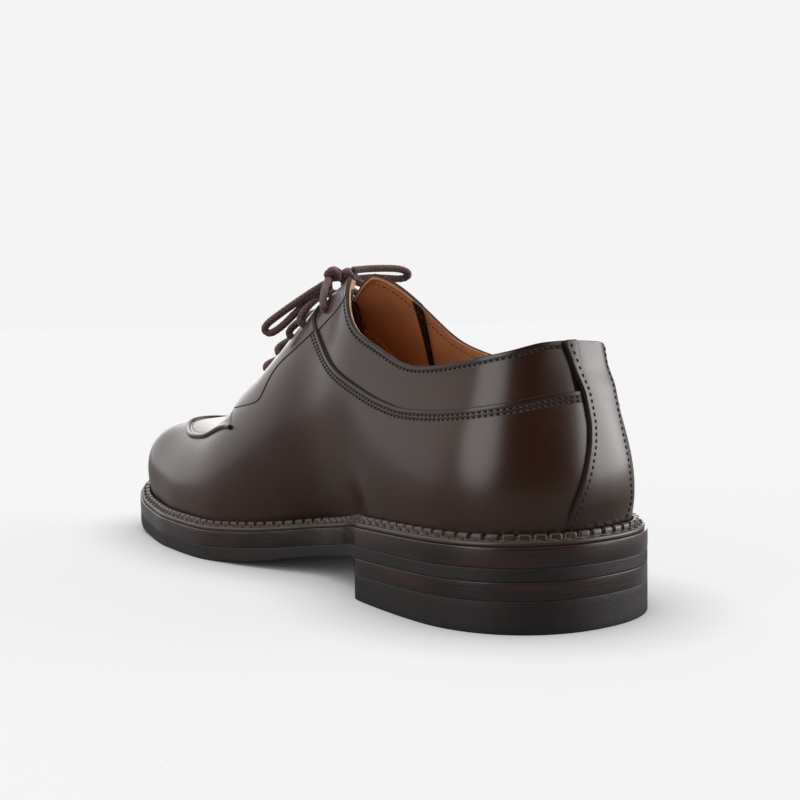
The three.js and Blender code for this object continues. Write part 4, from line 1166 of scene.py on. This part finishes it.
def stitch_tree():
    """Geometry Nodes that set thread stitches along the edges of a mesh."""
    tree = bpy.data.node_groups.new("stitch rows", "GeometryNodeTree")
    face = tree.interface
    face.new_socket("Lines", in_out="INPUT", socket_type="NodeSocketGeometry")
    for label, default in (("Pitch", 0.0022), ("Length", 0.0017), ("Thickness", 0.0006)):
        face.new_socket(label, in_out="INPUT", socket_type="NodeSocketFloat").default_value = default
    face.new_socket("Thread", in_out="INPUT", socket_type="NodeSocketMaterial")
    face.new_socket("Stitches", in_out="OUTPUT", socket_type="NodeSocketGeometry")
    new, link = tree.nodes.new, tree.links.new
    given, made = new("NodeGroupInput"), new("NodeGroupOutput")
    curve = new("GeometryNodeMeshToCurve")
    link(given.outputs["Lines"], curve.inputs[0])
    even = new("GeometryNodeResampleCurve")
    even.mode = "LENGTH"
    link(curve.outputs[0], even.inputs["Curve"])
    link(given.outputs["Pitch"], even.inputs["Length"])
    bead = new("GeometryNodeMeshUVSphere")
    bead.inputs["Segments"].default_value = 6
    bead.inputs["Rings"].default_value = 5
    bead.inputs["Radius"].default_value = 0.5
    size = new("ShaderNodeCombineXYZ")
    link(given.outputs["Length"], size.inputs["Z"])
    for axis in "XY":
        link(given.outputs["Thickness"], size.inputs[axis])
    turn = new("FunctionNodeAlignRotationToVector")
    turn.axis = "Z"
    link(new("GeometryNodeInputTangent").outputs[0], turn.inputs["Vector"])
    place = new("GeometryNodeInstanceOnPoints")
    link(even.outputs[0], place.inputs["Points"])
    link(bead.outputs["Mesh"], place.inputs["Instance"])
    link(turn.outputs[0], place.inputs["Rotation"])
    link(size.outputs[0], place.inputs["Scale"])
    real = new("GeometryNodeRealizeInstances")
    link(place.outputs[0], real.inputs[0])
    dye = new("GeometryNodeSetMaterial")
    link(real.outputs[0], dye.inputs["Geometry"])
    link(given.outputs["Thread"], dye.inputs["Material"])
    link(dye.outputs[0], made.inputs["Stitches"])
    return tree


def sew(name, lines, pitch, length, thickness, thread, slot, *nodes):
    """Stitches along lines as one mesh piece, laid out by the stitch tree."""
    if "stitch rows" not in bpy.data.node_groups:
        stitch_tree()
    tree = bpy.data.node_groups["stitch rows"]
    points = np.concatenate(lines)
    mesh = bpy.data.meshes.new(name + "_lines")
    edges, first = [], 0
    for line in lines:
        edges += [(first + i, first + i + 1) for i in range(len(line) - 1)]
        first += len(line)
    mesh.from_pydata(((points + [SHIFT, 0, 0]) * MM).tolist(), edges, [])
    guide = bpy.data.objects.new(name + "_lines", mesh)
    bpy.context.scene.collection.objects.link(guide)
    rows = guide.modifiers.new("stitches", "NODES")
    rows.node_group = tree
    values = {"Pitch": pitch * MM, "Length": length * MM, "Thickness": thickness * MM, "Thread": thread}
    for item in tree.interface.items_tree:
        if item.in_out == "INPUT" and item.name in values:
            rows[item.identifier] = values[item.name]
    graph = bpy.context.evaluated_depsgraph_get()
    made = bpy.data.meshes.new_from_object(guide.evaluated_get(graph))
    made.name = name
    bpy.data.objects.remove(guide)
    bpy.data.meshes.remove(mesh)
    made.polygons.foreach_set("use_smooth", np.full(len(made.polygons), True))
    obj = bpy.data.objects.new(name, made)
    bpy.context.scene.collection.objects.link(obj)
    return finish_piece(obj, slot, *nodes)


# The lining of the ears: its back edge leans, and it ends below at a height.
EAR_LINING_BACK = 0.394
EAR_LINING_LEAN = 0.12
EAR_LINING_FOOT = 52.0


def behind_ear_edge(points):
    """How far points lie in front of the ear lining's back edge."""
    return y_of(EAR_LINING_BACK) - points[..., 1] + (points[..., 2] - 80) * EAR_LINING_LEAN


def make_lining(name, field, offset, thickness, radius, look, edge=None):
    """A sheet of lining where a field is above zero, facing inwards; its edge may be read from points."""
    cut = Cut(surface, field, 0.3)
    points, faces, spare = dressed(cut, offset, thickness, radius, cut.read(field))
    if edge is not None:
        spare = edge(points)
    obj = make_object(name, points, [face[::-1] for face in faces], {"edge": spare})
    return finish_piece(obj, "lining_leather", "upper", look=look)


def strip_offset(at):
    """How far the back strip stands out: less over the collar, and none at its foot."""
    height = at[..., 2]
    rise = STRIP_OFFSET * smooth((height - foot_height(0.0)) / 8)
    return rise - STRIP_EASE * smooth((height - STRIP_EASE_FROM) / 9)


def make_upper():
    """The panels, from the ones that lie lowest to the ones on top, with their seams and the lining."""
    brown = dye("upper")
    leather = polished_leather("upper_calf", brown)
    lapped = polished_leather("side_panel_calf", brown, seams=LAP_STITCHES)
    collar = polished_leather("collar_calf", brown, seams=(TOPLINE_STITCH,))
    below_top = -Edges.topline
    clear_throat = -Edges.throat

    band = np.minimum.reduce([Edges.lap + HIDDEN_LAP, below_top, clear_throat])
    make_panel("collar_band", band, COLLAR_OFFSET, collar, edge=below_top, seam=below_top)
    stay_behind = np.minimum.reduce([Edges.facing, Edges.lap + HIDDEN_LAP, below_top, clear_throat])
    ear_edge = np.minimum(below_top, clear_throat)
    make_panel("facing_ears", stay_behind, COLLAR_OFFSET + 0.3, collar, edge=ear_edge, seam=below_top)

    side = np.minimum.reduce([-Edges.lap, -Edges.window, clear_throat])
    side_edge = np.minimum(-Edges.lap, -Edges.window)
    make_panel("side_panels", side, tab_bulge, lapped, edge=side_edge, seam=-Edges.lap)
    stay = np.minimum.reduce([Edges.facing, -Edges.lap - 0.5, -Edges.window - 0.4, clear_throat])
    make_panel("lace_stays", stay, lambda at: STAY_OFFSET + tab_bulge(at), leather)

    tail = Edges.apron
    under_tabs = APRON_OFFSET - 1.7 * smooth(-(Edges.window + 0.2) / 1.6)
    make_panel("apron", tail, under_tabs, polished_leather("apron_calf", brown, seams=(2.2,)), seam=tail)

    strip = np.minimum.reduce([Edges.strip, Edges.behind, below_top])
    make_panel("back_strip", strip, strip_offset, leather,
               edge=Edges.strip)

    lining = lining_leather("calf_lining", dye("lining"))
    inside = np.minimum.reduce([below_top - 0.25, clear_throat - 0.2])
    make_lining("lining", inside, LINING_OFFSET, -1.0, 0.3, lining)
    front = np.minimum(inside, Edges.front_lining)
    make_lining("front_lining", front, LINING_OFFSET - 1.8, -0.5, 0.25, lining)
    ear = np.minimum.reduce([inside, behind_ear_edge(surface.points), height_z - EAR_LINING_FOOT])
    # The ear lining's back edge carries a near-black band of painted shadow where the ear stands over the
    # heel lining.
    make_lining("ear_lining", ear, LINING_OFFSET - 1.1, -0.9, 0.3,
                lining_leather("bound_lining", dye("lining"), bound=0.9), behind_ear_edge)


def make_seams():
    """The stitch rows of the topline, the lap, the back strip and the lining."""
    thread = waxed_thread("upper_thread", dye("thread"))
    below_top = -Edges.topline
    on_side = np.minimum.reduce([-Edges.window, -Edges.throat])
    off_strip = -np.minimum(Edges.strip, Edges.behind)
    beside_throat = -Edges.throat - 2
    rows = seam_lines(below_top, TOPLINE_STITCH, COLLAR_OFFSET + 0.1, np.minimum(off_strip, beside_throat))
    for distance in LAP_STITCHES:
        rows += seam_lines(-Edges.lap, distance, 0.05, np.minimum(off_strip, on_side - 3))
    on_strip = np.minimum(below_top - 1.5, height_z - foot_height(0.0) - 1)
    rows += seam_lines(-off_strip, STRIP_STITCH, lambda at: strip_offset(at) + 0.05, on_strip)
    pitch, length, width = measure("stitch_pitch"), measure("stitch_length"), measure("stitch_width")
    sew("upper_stitches", rows, pitch, length, width, thread, "upper_leather", "upper")
    inner_rows = seam_lines(below_top, TOPLINE_STITCH + 0.4, LINING_OFFSET - 1.15, beside_throat)
    thread = waxed_thread("lining_thread", LINING_THREAD)
    fine = LINING_THREAD_SHARE * width
    sew("lining_stitches", inner_rows, pitch, length, fine, thread, "lining_leather", "upper")


def make_bead():
    """The rolled bead along the apron's edge."""
    edge = apron_edge()
    distance = np.abs(edge[:, 0] - crest(along_of(edge[:, 1])))
    side = np.where(edge[:, 0] > crest(along_of(edge[:, 1])), 1.0, -1.0)
    points, normals = surface_at(distance, edge[:, 1], side)
    make_tube("apron_bead", points + normals * 0.45, measure("bead_radius"), 12,
              polished_leather("bead_calf", dye("upper")), "upper_leather", "upper")


def tube_rings(path, sides, spacing):
    """Points of a round tube along a path, ring by ring, with the turn and run of each."""
    path = np.asarray(path, float)
    run = np.concatenate([[0], np.cumsum(np.linalg.norm(np.diff(path, axis=0), axis=1))])
    count = max(4, int(run[-1] / spacing))
    at = np.linspace(0, run[-1], count + 1)
    line = np.stack([np.interp(at, run, path[:, k]) for k in range(3)], -1)
    for _ in range(2):
        line[1:-1] = (line[:-2] + 2 * line[1:-1] + line[2:]) / 4
    forward = unit(np.gradient(line, axis=0))
    up = unit(np.cross(forward[0], [0.31, 0.2, 0.93]))
    ups = []
    for way in forward:
        up = unit(up - way * (up @ way))
        ups.append(up)
    ups = np.array(ups)
    aside = np.cross(forward, ups)
    turns = np.arange(sides) / sides
    round_up, round_aside = np.cos(2 * np.pi * turns), np.sin(2 * np.pi * turns)
    ways = ups[:, None] * round_up[None, :, None] + aside[:, None] * round_aside[None, :, None]
    return line, ways, turns, at


def tube_faces(rings, sides):
    """Faces of a closed tube whose points go ring by ring."""
    faces = []
    for j in range(rings - 1):
        for i in range(sides):
            k = (i + 1) % sides
            faces.append([j * sides + i, j * sides + k, (j + 1) * sides + k, (j + 1) * sides + i])
    faces.append([i for i in range(sides)][::-1])
    faces.append([(rings - 1) * sides + i for i in range(sides)])
    return faces


def make_tube(name, path, radius, sides, look, slot, *nodes, spacing=1.0):
    """A plain round tube along a path as a piece."""
    line, ways, _, _ = tube_rings(path, sides, spacing)
    points = (line[:, None] + ways * radius).reshape(-1, 3)
    obj = make_object(name, points, tube_faces(len(line), sides), {"edge": np.full(len(points), 9.0)})
    return finish_piece(obj, slot, *nodes, look=look)


# The lace's braid.
BRAID_SIDES = 20
BRAID_SPACING = 0.4
BRAID_STRANDS = 4
BRAID_RISE = 0.11
BRAID_RADIUS = LACE / 2 + 0.08


def lace_points(path):
    """A braided lace along a path: points, faces, their height in the braid, and the middle line."""
    line, ways, turns, at = tube_rings(path, BRAID_SIDES, BRAID_SPACING)
    lean = at[:, None] / (1.35 * LACE) * BRAID_STRANDS * 0.5
    left = np.cos(2 * np.pi * (BRAID_STRANDS * turns[None] + lean))
    right = np.cos(2 * np.pi * (BRAID_STRANDS * turns[None] - lean))
    braid = 0.5 + 0.5 * np.maximum(left, right)
    grow = BRAID_RADIUS - BRAID_RISE + 2 * BRAID_RISE * braid
    points = line[:, None] + ways * grow[..., None]
    return points.reshape(-1, 3), tube_faces(len(line), BRAID_SIDES), braid.ravel(), line


def join_parts(parts):
    """Several (points, faces, values) as one."""
    points, faces, values, first = [], [], [], 0
    for p, f, v in parts:
        points.append(p)
        values.append(v)
        faces += [[i + first for i in face] for face in f]
        first += len(p)
    return np.concatenate(points), faces, np.concatenate(values)


# How the lace passes the eyelets.
LACE_DEPTH = VAMP_UNDERSIDE - 0.9 - LACE / 2
LACE_HEIGHT = LACE / 2 + 1.3
BAR_RISE = 2.0
HOLE_RADIUS = 1.5
HOLE_RIM = ((0.3, -0.1), (0.12, 0.14), (-0.2, -0.3))


def through_hole(along, side, setback):
    """The lace's way up through a hole and on to the throat's edge."""
    distance = float(throat_half(along, side)) + setback
    y = float(y_of(along))
    steps = ((0, LACE_DEPTH), (0.2, VAMP_UNDERSIDE / 2), (0, LACE_HEIGHT - 0.6), (-2.6, LACE_HEIGHT + 0.3),
             (-setback, LACE_HEIGHT + 0.5))
    return [over_surface(distance + d, y, float(side), offset) for d, offset in steps]


# The knot: each lobe's middle and half sizes.
KNOT_LOBES = (((5.4, 6.0, 115.1), (4.3, 3.2, 2.9)), ((-0.7, 7.0, 114.3), (4.5, 3.4, 3.2)))


def crossing_paths():
    """The lace's bars over the throat, its runs under the stays, and the strands up to the knot."""
    paths = []
    holes = list(zip(EYELETS_ALONG, EYELET_SETBACKS))
    for along, setback in holes[1:]:
        near, far = through_hole(along, 1, setback), through_hole(along, -1, setback)[::-1]
        paths.append([*near, (near[4] + far[0]) / 2 + [0, 0, BAR_RISE], *far])
    for (low, before), (high, after) in zip(holes[1:], holes[2:]):
        for side in (1, -1):
            a, b = through_hole(low, side, before)[0], through_hole(high, side, after)[0]
            paths.append([a, (a + b) / 2, b])
    for side, (place, size) in zip((1, -1), KNOT_LOBES):
        start = through_hole(EYELETS_ALONG[0], side, EYELET_SETBACKS[0])[1:3]
        start[1] = (start[0] + start[1]) / 2
        end = np.array(place) + [side * size[0] * 0.45, -size[1] * 0.2, -size[2] * 0.5]
        middle = (start[1] + end) / 2 + [side * 0.9, 0, 0.3]
        paths.append([*start, middle, end])
    return [follow(path, 8) for path in paths]


def lobe_paths(place, size):
    """A lobe of the knot as turns of lace wound close about its middle."""
    turn = np.linspace(0, 2 * np.pi, 32)
    wide, deep, high = (s - LACE / 2 for s in size)
    across = np.stack([wide * np.cos(turn), 0.5 * deep * np.sin(2 * turn), high * np.sin(turn)], -1)
    around = np.stack([0.35 * wide * np.sin(2 * turn), deep * np.cos(turn), high * 0.9 * np.sin(turn)], -1)
    core = np.array([[-wide, -deep * 0.5, -high * 0.4], [0, 0, 0], [wide, deep * 0.5, high * 0.4]])
    return [np.array(place) + path for path in (across, around, follow(core, 6))]


def make_hole_rims():
    """A near-black ring round each punched hole that the lace passes: the hole's dark pressed rim, and
    painted shade in the gap round the lace.
    """
    parts = []
    turn = np.linspace(0, 2 * np.pi, 25)[:-1]
    for along, setback in zip(EYELETS_ALONG, EYELET_SETBACKS):
        for side in (1, -1):
            distance = float(throat_half(along, side)) + setback
            point, normal = surface_at(np.array([distance]), np.array([float(y_of(along))]), float(side))
            lift = COLLAR_OFFSET + 0.3 if along < 0.46 else STAY_OFFSET + float(tab_bulge(point)[0])
            across = unit(np.cross(normal[0], [0, 1, 0]))
            down = np.cross(normal[0], across)
            circle = np.cos(turn)[:, None] * across + np.sin(turn)[:, None] * down
            for wider, rise in HOLE_RIM:
                parts.append(point[0] + normal[0] * (lift + rise) + (HOLE_RADIUS + wider) * circle)
    points, faces, size = np.concatenate(parts), [], len(turn)
    for first in range(0, len(points), 3 * size):
        for row in range(2):
            for i in range(size):
                a, b = first + row * size + i, first + row * size + (i + 1) % size
                faces.append([a, b, b + size, a + size])
    # The edge value inks the whole ring near-black, which also stands as painted shade in the hole round the
    # lace.
    obj = make_object("lace_holes", points, faces, {"edge": np.full(len(points), -1.0)})
    finish_piece(obj, "upper_leather", "upper", look=polished_leather("hole_rims", dye("upper")))


def make_lace():
    """The lace: crossings through the eyelets, the knot, and the bow's loops and ends."""
    cotton = braided_cotton("lace_cotton", dye("lace"))
    parts = [lace_points(path)[:3] for path in crossing_paths()]
    points, faces, braid = join_parts(parts)
    obj = make_object("lace_crossings_braid", points, faces, {"braid": braid})
    finish_piece(obj, "lace_cord", "lace_crossings", look=cotton)
    make_hole_rims()

    parts = [lace_points(path)[:3] for lobe in KNOT_LOBES for path in lobe_paths(*lobe)]
    points, faces, braid = join_parts(parts)
    obj = make_object("lace_knot_braid", points, faces, {"braid": braid})
    finish_piece(obj, "lace_cord", "lace_knot", look=cotton)

    for name, route in BOW.items():
        points, faces, braid, line = lace_points(follow(route, 8))
        obj = make_object(name + "_braid", points, faces, {"braid": braid})
        finish_piece(obj, "lace_cord", name, look=cotton)
        path = (line + [SHIFT, 0, 0]) * MM


# The sole's layers.
SOLE_STATIONS = 300


def ring_of(inset, stop=1.0, count=SOLE_STATIONS):
    """The outline moved in, as one ring: the inner side from back to stop, then the outer side back."""
    feet = even_stations(count)
    feet = np.concatenate([feet[feet < stop - 1e-9], [stop]]) if stop < 1 else feet
    inner = outline_points(feet, 1.0) - inset * outline_normals(feet, 1.0)
    outer = outline_points(feet, -1.0) - inset * outline_normals(feet, -1.0)
    return np.concatenate([inner, outer[::-1][(1 if stop == 1 else 0):-1]]), len(feet)


def make_layer(name, low, high, look, slot, node, bevel=0.5, bulge=0.0, stop=1.0, inset=0.0):
    """A layer of the sole between two heights, with rounded edges and a side that may bulge."""
    steps = [(bevel, 0.0)]
    steps += [(bevel * (1 - math.sin(a)), bevel * (1 - math.cos(a))) for a in (0.4, 0.8, 1.2, math.pi / 2)]
    rows = [("low", i, h) for i, h in steps]
    rows += [("between", -bulge * math.sin(math.pi * t), t) for t in (0.2, 0.35, 0.5, 0.65, 0.8)]
    rows += [("high", i, h) for i, h in steps[::-1]]
    points, size, count = [], 0, 0
    for kind, row_inset, h in rows:
        plan, count = ring_of(inset + row_inset, stop)
        along = along_of(plan[:, 1])
        bottom, top = low(along), high(along)
        if kind == "low":
            z = bottom + h
        elif kind == "high":
            z = top - h
        else:
            z = bottom + bevel + (top - bottom - 2 * bevel) * h
        points.append(with_height(plan, z))
        size = len(plan)
    points = np.concatenate(points)
    faces = []
    for j in range(len(rows) - 1):
        for i in range(size):
            k = (i + 1) % size
            faces.append([j * size + i, (j + 1) * size + i, (j + 1) * size + k, j * size + k])
    top = (len(rows) - 1) * size
    for i in range(count - 1):
        corners = [i, i + 1, size - i - 1, (size - i) % size]
        low_face = [v for k, v in enumerate(corners) if v not in corners[:k]]
        if len(low_face) > 2:
            faces.append(low_face)
            faces.append([v + top for v in low_face][::-1])
    obj = make_object(name, points, faces)
    return finish_piece(obj, slot, node, look=look)


def make_sole():
    """The leather and rubber layers of the sole and the heel."""
    edge = sole_edge("sole_edge_dye", dye("edge"), dye("edge_streaks"))
    rubber = plain_rubber("sole_rubber", dye("rubber"))
    stop = HEEL_BREAST / OUTSOLE_LENGTH

    def lift_under(along):
        return underside(along) - LAYER_GAP - LIFT_THICKNESS

    make_layer("outsole_leather", underside, outsole_top, rubber, "sole_rubber", "outsole", bevel=0.35)
    make_layer("midsole_leather", lambda a: outsole_top(a) + 0.02, lambda a: midsole_top(a) + 0.25, edge,
               "sole_leather", "midsole", bevel=0.25, bulge=0.1)
    make_layer("heel_lift_leather", lift_under, lambda a: underside(a) - 0.02, edge,
               "heel_leather", "heel_lift", bevel=0.2, stop=stop)
    make_layer("heel_top_rubber", lambda a: 0 * a, lambda a: lift_under(a) - 0.02, rubber, "sole_rubber",
               "heel_top_piece", bevel=0.35, stop=stop)


# The welt's lip is cut in blocks by a wheel.
TOOTH_PITCH = 4.9
TOOTH_GAP = 0.15
WELT_SPACING = 0.42


def make_welt():
    """The storm welt: a ledge with a stitch in each block of its raised lip."""
    count = int(2 * 340 / WELT_SPACING / 2)
    feet = even_stations(count)
    ring_feet = np.concatenate([feet, feet[::-1][1:-1]])
    side = np.concatenate([np.ones(count + 1), -np.ones(count - 1)])
    plan, way = outline_points(ring_feet, side), outline_normals(ring_feet, side)
    base = plan - 3.4 * way
    run = np.concatenate([[0], np.cumsum(np.linalg.norm(np.diff(base, axis=0), axis=1))])
    total = run[-1] + np.linalg.norm(base[0] - base[-1])
    teeth = round(total / measure("welt_pitch"))
    phase = run / total * teeth % 1
    block = 1 - smooth((np.abs(phase - 0.5) - (0.5 - TOOTH_GAP)) / (TOOTH_GAP * 0.6))
    profile = (
        (0.9, 0.02, 0, 0), (0.82, 0.5, 0, 0), (0.86, 1.15, 0, 0), (1.05, 1.45, 0, 0), (1.6, 1.5, 0, 0),
        (2.3, 1.46, 0, 0), (2.62, 1.52, 0.3, 0), (2.64, 1.9, 0.8, 0), (2.66, 2.9, 1.0, -0.6),
        (2.8, 3.4, 0.95, -1.2), (3.2, 3.62, 0.6, -1.4), (3.9, 3.65, 0.1, -1.1), (4.4, 3.55, 0, -0.5),
        (4.66, 3.1, 0, 0), (4.7, 1.5, 0, 0), (4.7, 0.05, 0, 0),
    )
    points = []
    for inset, height, slot_in, slot_down in profile:
        gap = 1 - block
        at = plan - way * (inset + slot_in * gap)[:, None]
        z = welt_base(along_of(plan[:, 1] - way[:, 1] * inset)) + height + slot_down * gap
        points.append(with_height(at, z))
    count = len(plan)
    faces = []
    for j in range(len(profile)):
        nxt = (j + 1) % len(profile)
        for i in range(count):
            k = (i + 1) % count
            faces.append([j * count + i, nxt * count + i, nxt * count + k, j * count + k])
    look = polished_leather("welt_leather_look", dye("welt"), gloss=0.36)
    plain = np.full(len(profile) * count, 9.0)
    obj = make_object("storm_welt", np.concatenate(points), faces, {"edge": plain})
    finish_piece(obj, "welt_leather", "welt", look=look)
    line = plan - way * 1.95
    row = with_height(line, welt_base(along_of(line[:, 1])) + 1.62)
    sew("welt_stitches", [np.concatenate([row, row[:1]])], total / teeth, 3.9, 1.0,
        waxed_thread("welt_thread", WELT_THREAD), "welt_leather", "welt")


def make_tongue():
    """The tongue under the stays, with soft edges."""
    alongs = np.linspace(TONGUE["along"][0], TONGUE["along"][-1], 70)
    halves = tongue_share(alongs) * BALL_WIDTH
    crease_in, crease_out = 8.0, 10.8
    top = VAMP_UNDERSIDE - 1.1
    drop = LACE_DEPTH - LACE / 2 - FIT_GAP - top
    shares = np.linspace(0, 1, 22)
    grid = []
    for side in (-1.0, 1.0):
        distance = halves[:, None] * shares[None]
        point, normal = surface_at(distance, np.broadcast_to(y_of(alongs)[:, None], distance.shape), side)
        offset = top + drop * smooth((distance - crease_in) / (crease_out - crease_in))
        grid.append((point, normal, offset))
    rows = []
    for depth in (0.0, 2.4):
        left = grid[0][0] + grid[0][1] * (grid[0][2] - depth)[..., None]
        right = grid[1][0] + grid[1][1] * (grid[1][2] - depth)[..., None]
        rows.append(np.concatenate([left[:, ::-1][:, :-1], right], 1))
    ring = np.concatenate([rows[0], rows[1][:, ::-1]], 1)
    size = ring.shape[1]
    faces = []
    for j in range(len(alongs) - 1):
        for i in range(size):
            k = (i + 1) % size
            faces.append([j * size + i, j * size + k, (j + 1) * size + k, (j + 1) * size + i][::-1])
    half = size // 2
    for j, flip in ((0, 1), (len(alongs) - 1, -1)):
        for i in range(half - 1):
            faces.append([j * size + v for v in (i, i + 1, size - 2 - i, size - 1 - i)][::flip])
    obj = make_object("tongue_leather", ring.reshape(-1, 3), faces, {"edge": np.full(ring.size // 3, 9.0)})
    finish_piece(obj, "upper_leather", "tongue", look=polished_leather("tongue_calf", dye("upper")))


def make_insole():
    """The insole keeps its solid and gets its leather."""
    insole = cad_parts["insole"]
    insole.data.materials.clear()
    insole.data.materials.append(plain_rubber("insole_leather", dye("lining")))


def colour_setting(label, text, default):
    """A colour that the panel shows."""
    return FloatVectorProperty(name=label, description=text, subtype="COLOR", size=4, min=0, max=1,
                               default=default)


def length_setting(label, text, default, least, most):
    """A length that the panel shows, from sizes in millimetres."""
    return FloatProperty(name=label, description=text, unit="LENGTH", precision=4, default=default * MM,
                         min=least * MM, max=most * MM)


class ShoeColours(bpy.types.PropertyGroup):
    """The dyes of the shoe's leathers, rubber, thread and lace"""

    upper: colour_setting("Upper", "Polished calf of the panels and the tongue", UPPER_BROWN)
    lining: colour_setting("Lining", "Calf of the lining and the insole", LINING_TAN)
    edge: colour_setting("Sole edge", "Dye on the leather edges of the sole and heel", EDGE_BROWN)
    edge_streaks: colour_setting("Edge streaks", "Layers that show through the edge dye", EDGE_RED)
    rubber: colour_setting("Rubber", "Rubber of the outsole and the heel's top piece", RUBBER_BROWN)
    welt: colour_setting("Welt", "Leather of the storm welt", WELT_BROWN)
    thread: colour_setting("Thread", "Waxed thread of the upper's seams", THREAD_BROWN)
    lace: colour_setting("Lace", "Waxed cotton of the lace", LACE_BROWN)


class ShoeSizes(bpy.types.PropertyGroup):
    """Sizes of the shoe's small parts"""

    panel_thickness: length_setting("Panel thickness", "Thickness of each panel", PANEL_THICKNESS, 0.8, 1.8)
    stitch_pitch: length_setting("Stitch pitch", "From one stitch to the next", STITCH_PITCH, 1.2, 4)
    stitch_length: length_setting("Stitch length", "Length of thread that shows", STITCH_LENGTH, 0.6, 3)
    stitch_width: length_setting("Stitch width", "Thickness of the upper's thread", STITCH_WIDTH, 0.3, 1.2)
    bead_radius: length_setting("Bead radius", "Radius of the bead round the apron", BEAD_RADIUS, 0.6, 1.6)
    welt_pitch: length_setting("Welt pitch", "From one cut block to the next", TOOTH_PITCH, 3, 8)


class SHOE_OT_stage(bpy.types.Operator):
    """Lay the floor, light the studio and set the photograph's camera"""

    bl_idname = "shoe.stage"
    bl_label = "Stage"

    def execute(self, context):
        make_stage()
        return {"FINISHED"}


class SHOE_OT_lace(bpy.types.Operator):
    """Lace the shoe: crossings, knot, loops and ends"""

    bl_idname = "shoe.lace"
    bl_label = "Lace"

    def execute(self, context):
        make_lace()
        return {"FINISHED"}


class SHOE_OT_upper(bpy.types.Operator):
    """Make the upper's leather panels and its lining"""

    bl_idname = "shoe.upper"
    bl_label = "Upper"

    def execute(self, context):
        make_upper()
        return {"FINISHED"}


class SHOE_OT_bead(bpy.types.Operator):
    """Roll the bead round the apron"""

    bl_idname = "shoe.bead"
    bl_label = "Apron bead"

    def execute(self, context):
        make_bead()
        return {"FINISHED"}


class SHOE_OT_seams(bpy.types.Operator):
    """Sew the stitch rows of the upper and the lining"""

    bl_idname = "shoe.seams"
    bl_label = "Seams"

    def execute(self, context):
        make_seams()
        return {"FINISHED"}


class SHOE_OT_sole(bpy.types.Operator):
    """Make the sole's and heel's layers"""

    bl_idname = "shoe.sole"
    bl_label = "Sole"

    def execute(self, context):
        make_sole()
        return {"FINISHED"}


class SHOE_OT_welt(bpy.types.Operator):
    """Make the storm welt and its stitches"""

    bl_idname = "shoe.welt"
    bl_label = "Welt"

    def execute(self, context):
        make_welt()
        return {"FINISHED"}


class SHOE_OT_tongue(bpy.types.Operator):
    """Make the tongue under the facings"""

    bl_idname = "shoe.tongue"
    bl_label = "Tongue"

    def execute(self, context):
        make_tongue()
        return {"FINISHED"}


class SHOE_OT_insole(bpy.types.Operator):
    """Give the insole its leather"""

    bl_idname = "shoe.insole"
    bl_label = "Insole"

    def execute(self, context):
        make_insole()
        return {"FINISHED"}


STEPS = (
    SHOE_OT_stage, SHOE_OT_lace, SHOE_OT_upper, SHOE_OT_bead, SHOE_OT_seams, SHOE_OT_sole, SHOE_OT_welt,
    SHOE_OT_tongue, SHOE_OT_insole,
)


class SHOE_PT_pieces(bpy.types.Panel):
    """The shoe's sizes and colours, and a button for each group of pieces"""

    bl_idname = "SHOE_PT_pieces"
    bl_label = "Derby shoe"
    bl_space_type = "VIEW_3D"
    bl_region_type = "UI"
    bl_category = "Shoe"

    def draw(self, context):
        for settings in (context.scene.shoe_sizes, context.scene.shoe_colours):
            box = self.layout.box()
            for name in type(settings).__annotations__:
                box.prop(settings, name)
        for step in STEPS:
            self.layout.operator(step.bl_idname)


CLASSES = (ShoeColours, ShoeSizes, *STEPS, SHOE_PT_pieces)


def register():
    """Adds the settings, the operators and the panel to Blender."""
    for entry in CLASSES:
        bpy.utils.register_class(entry)
    bpy.types.Scene.shoe_colours = PointerProperty(type=ShoeColours)
    bpy.types.Scene.shoe_sizes = PointerProperty(type=ShoeSizes)


def unregister():
    """Takes them out again."""
    del bpy.types.Scene.shoe_sizes
    del bpy.types.Scene.shoe_colours
    for entry in reversed(CLASSES):
        bpy.utils.unregister_class(entry)


def main():
    """Makes the stage and the pieces in order."""
    register()
    bpy.ops.shoe.stage()
    bpy.ops.shoe.lace()
    bpy.ops.shoe.upper()
    bpy.ops.shoe.bead()
    bpy.ops.shoe.seams()
    bpy.ops.shoe.sole()
    bpy.ops.shoe.welt()
    bpy.ops.shoe.tongue()
    bpy.ops.shoe.insole()


if __name__ == "__main__":
    main()
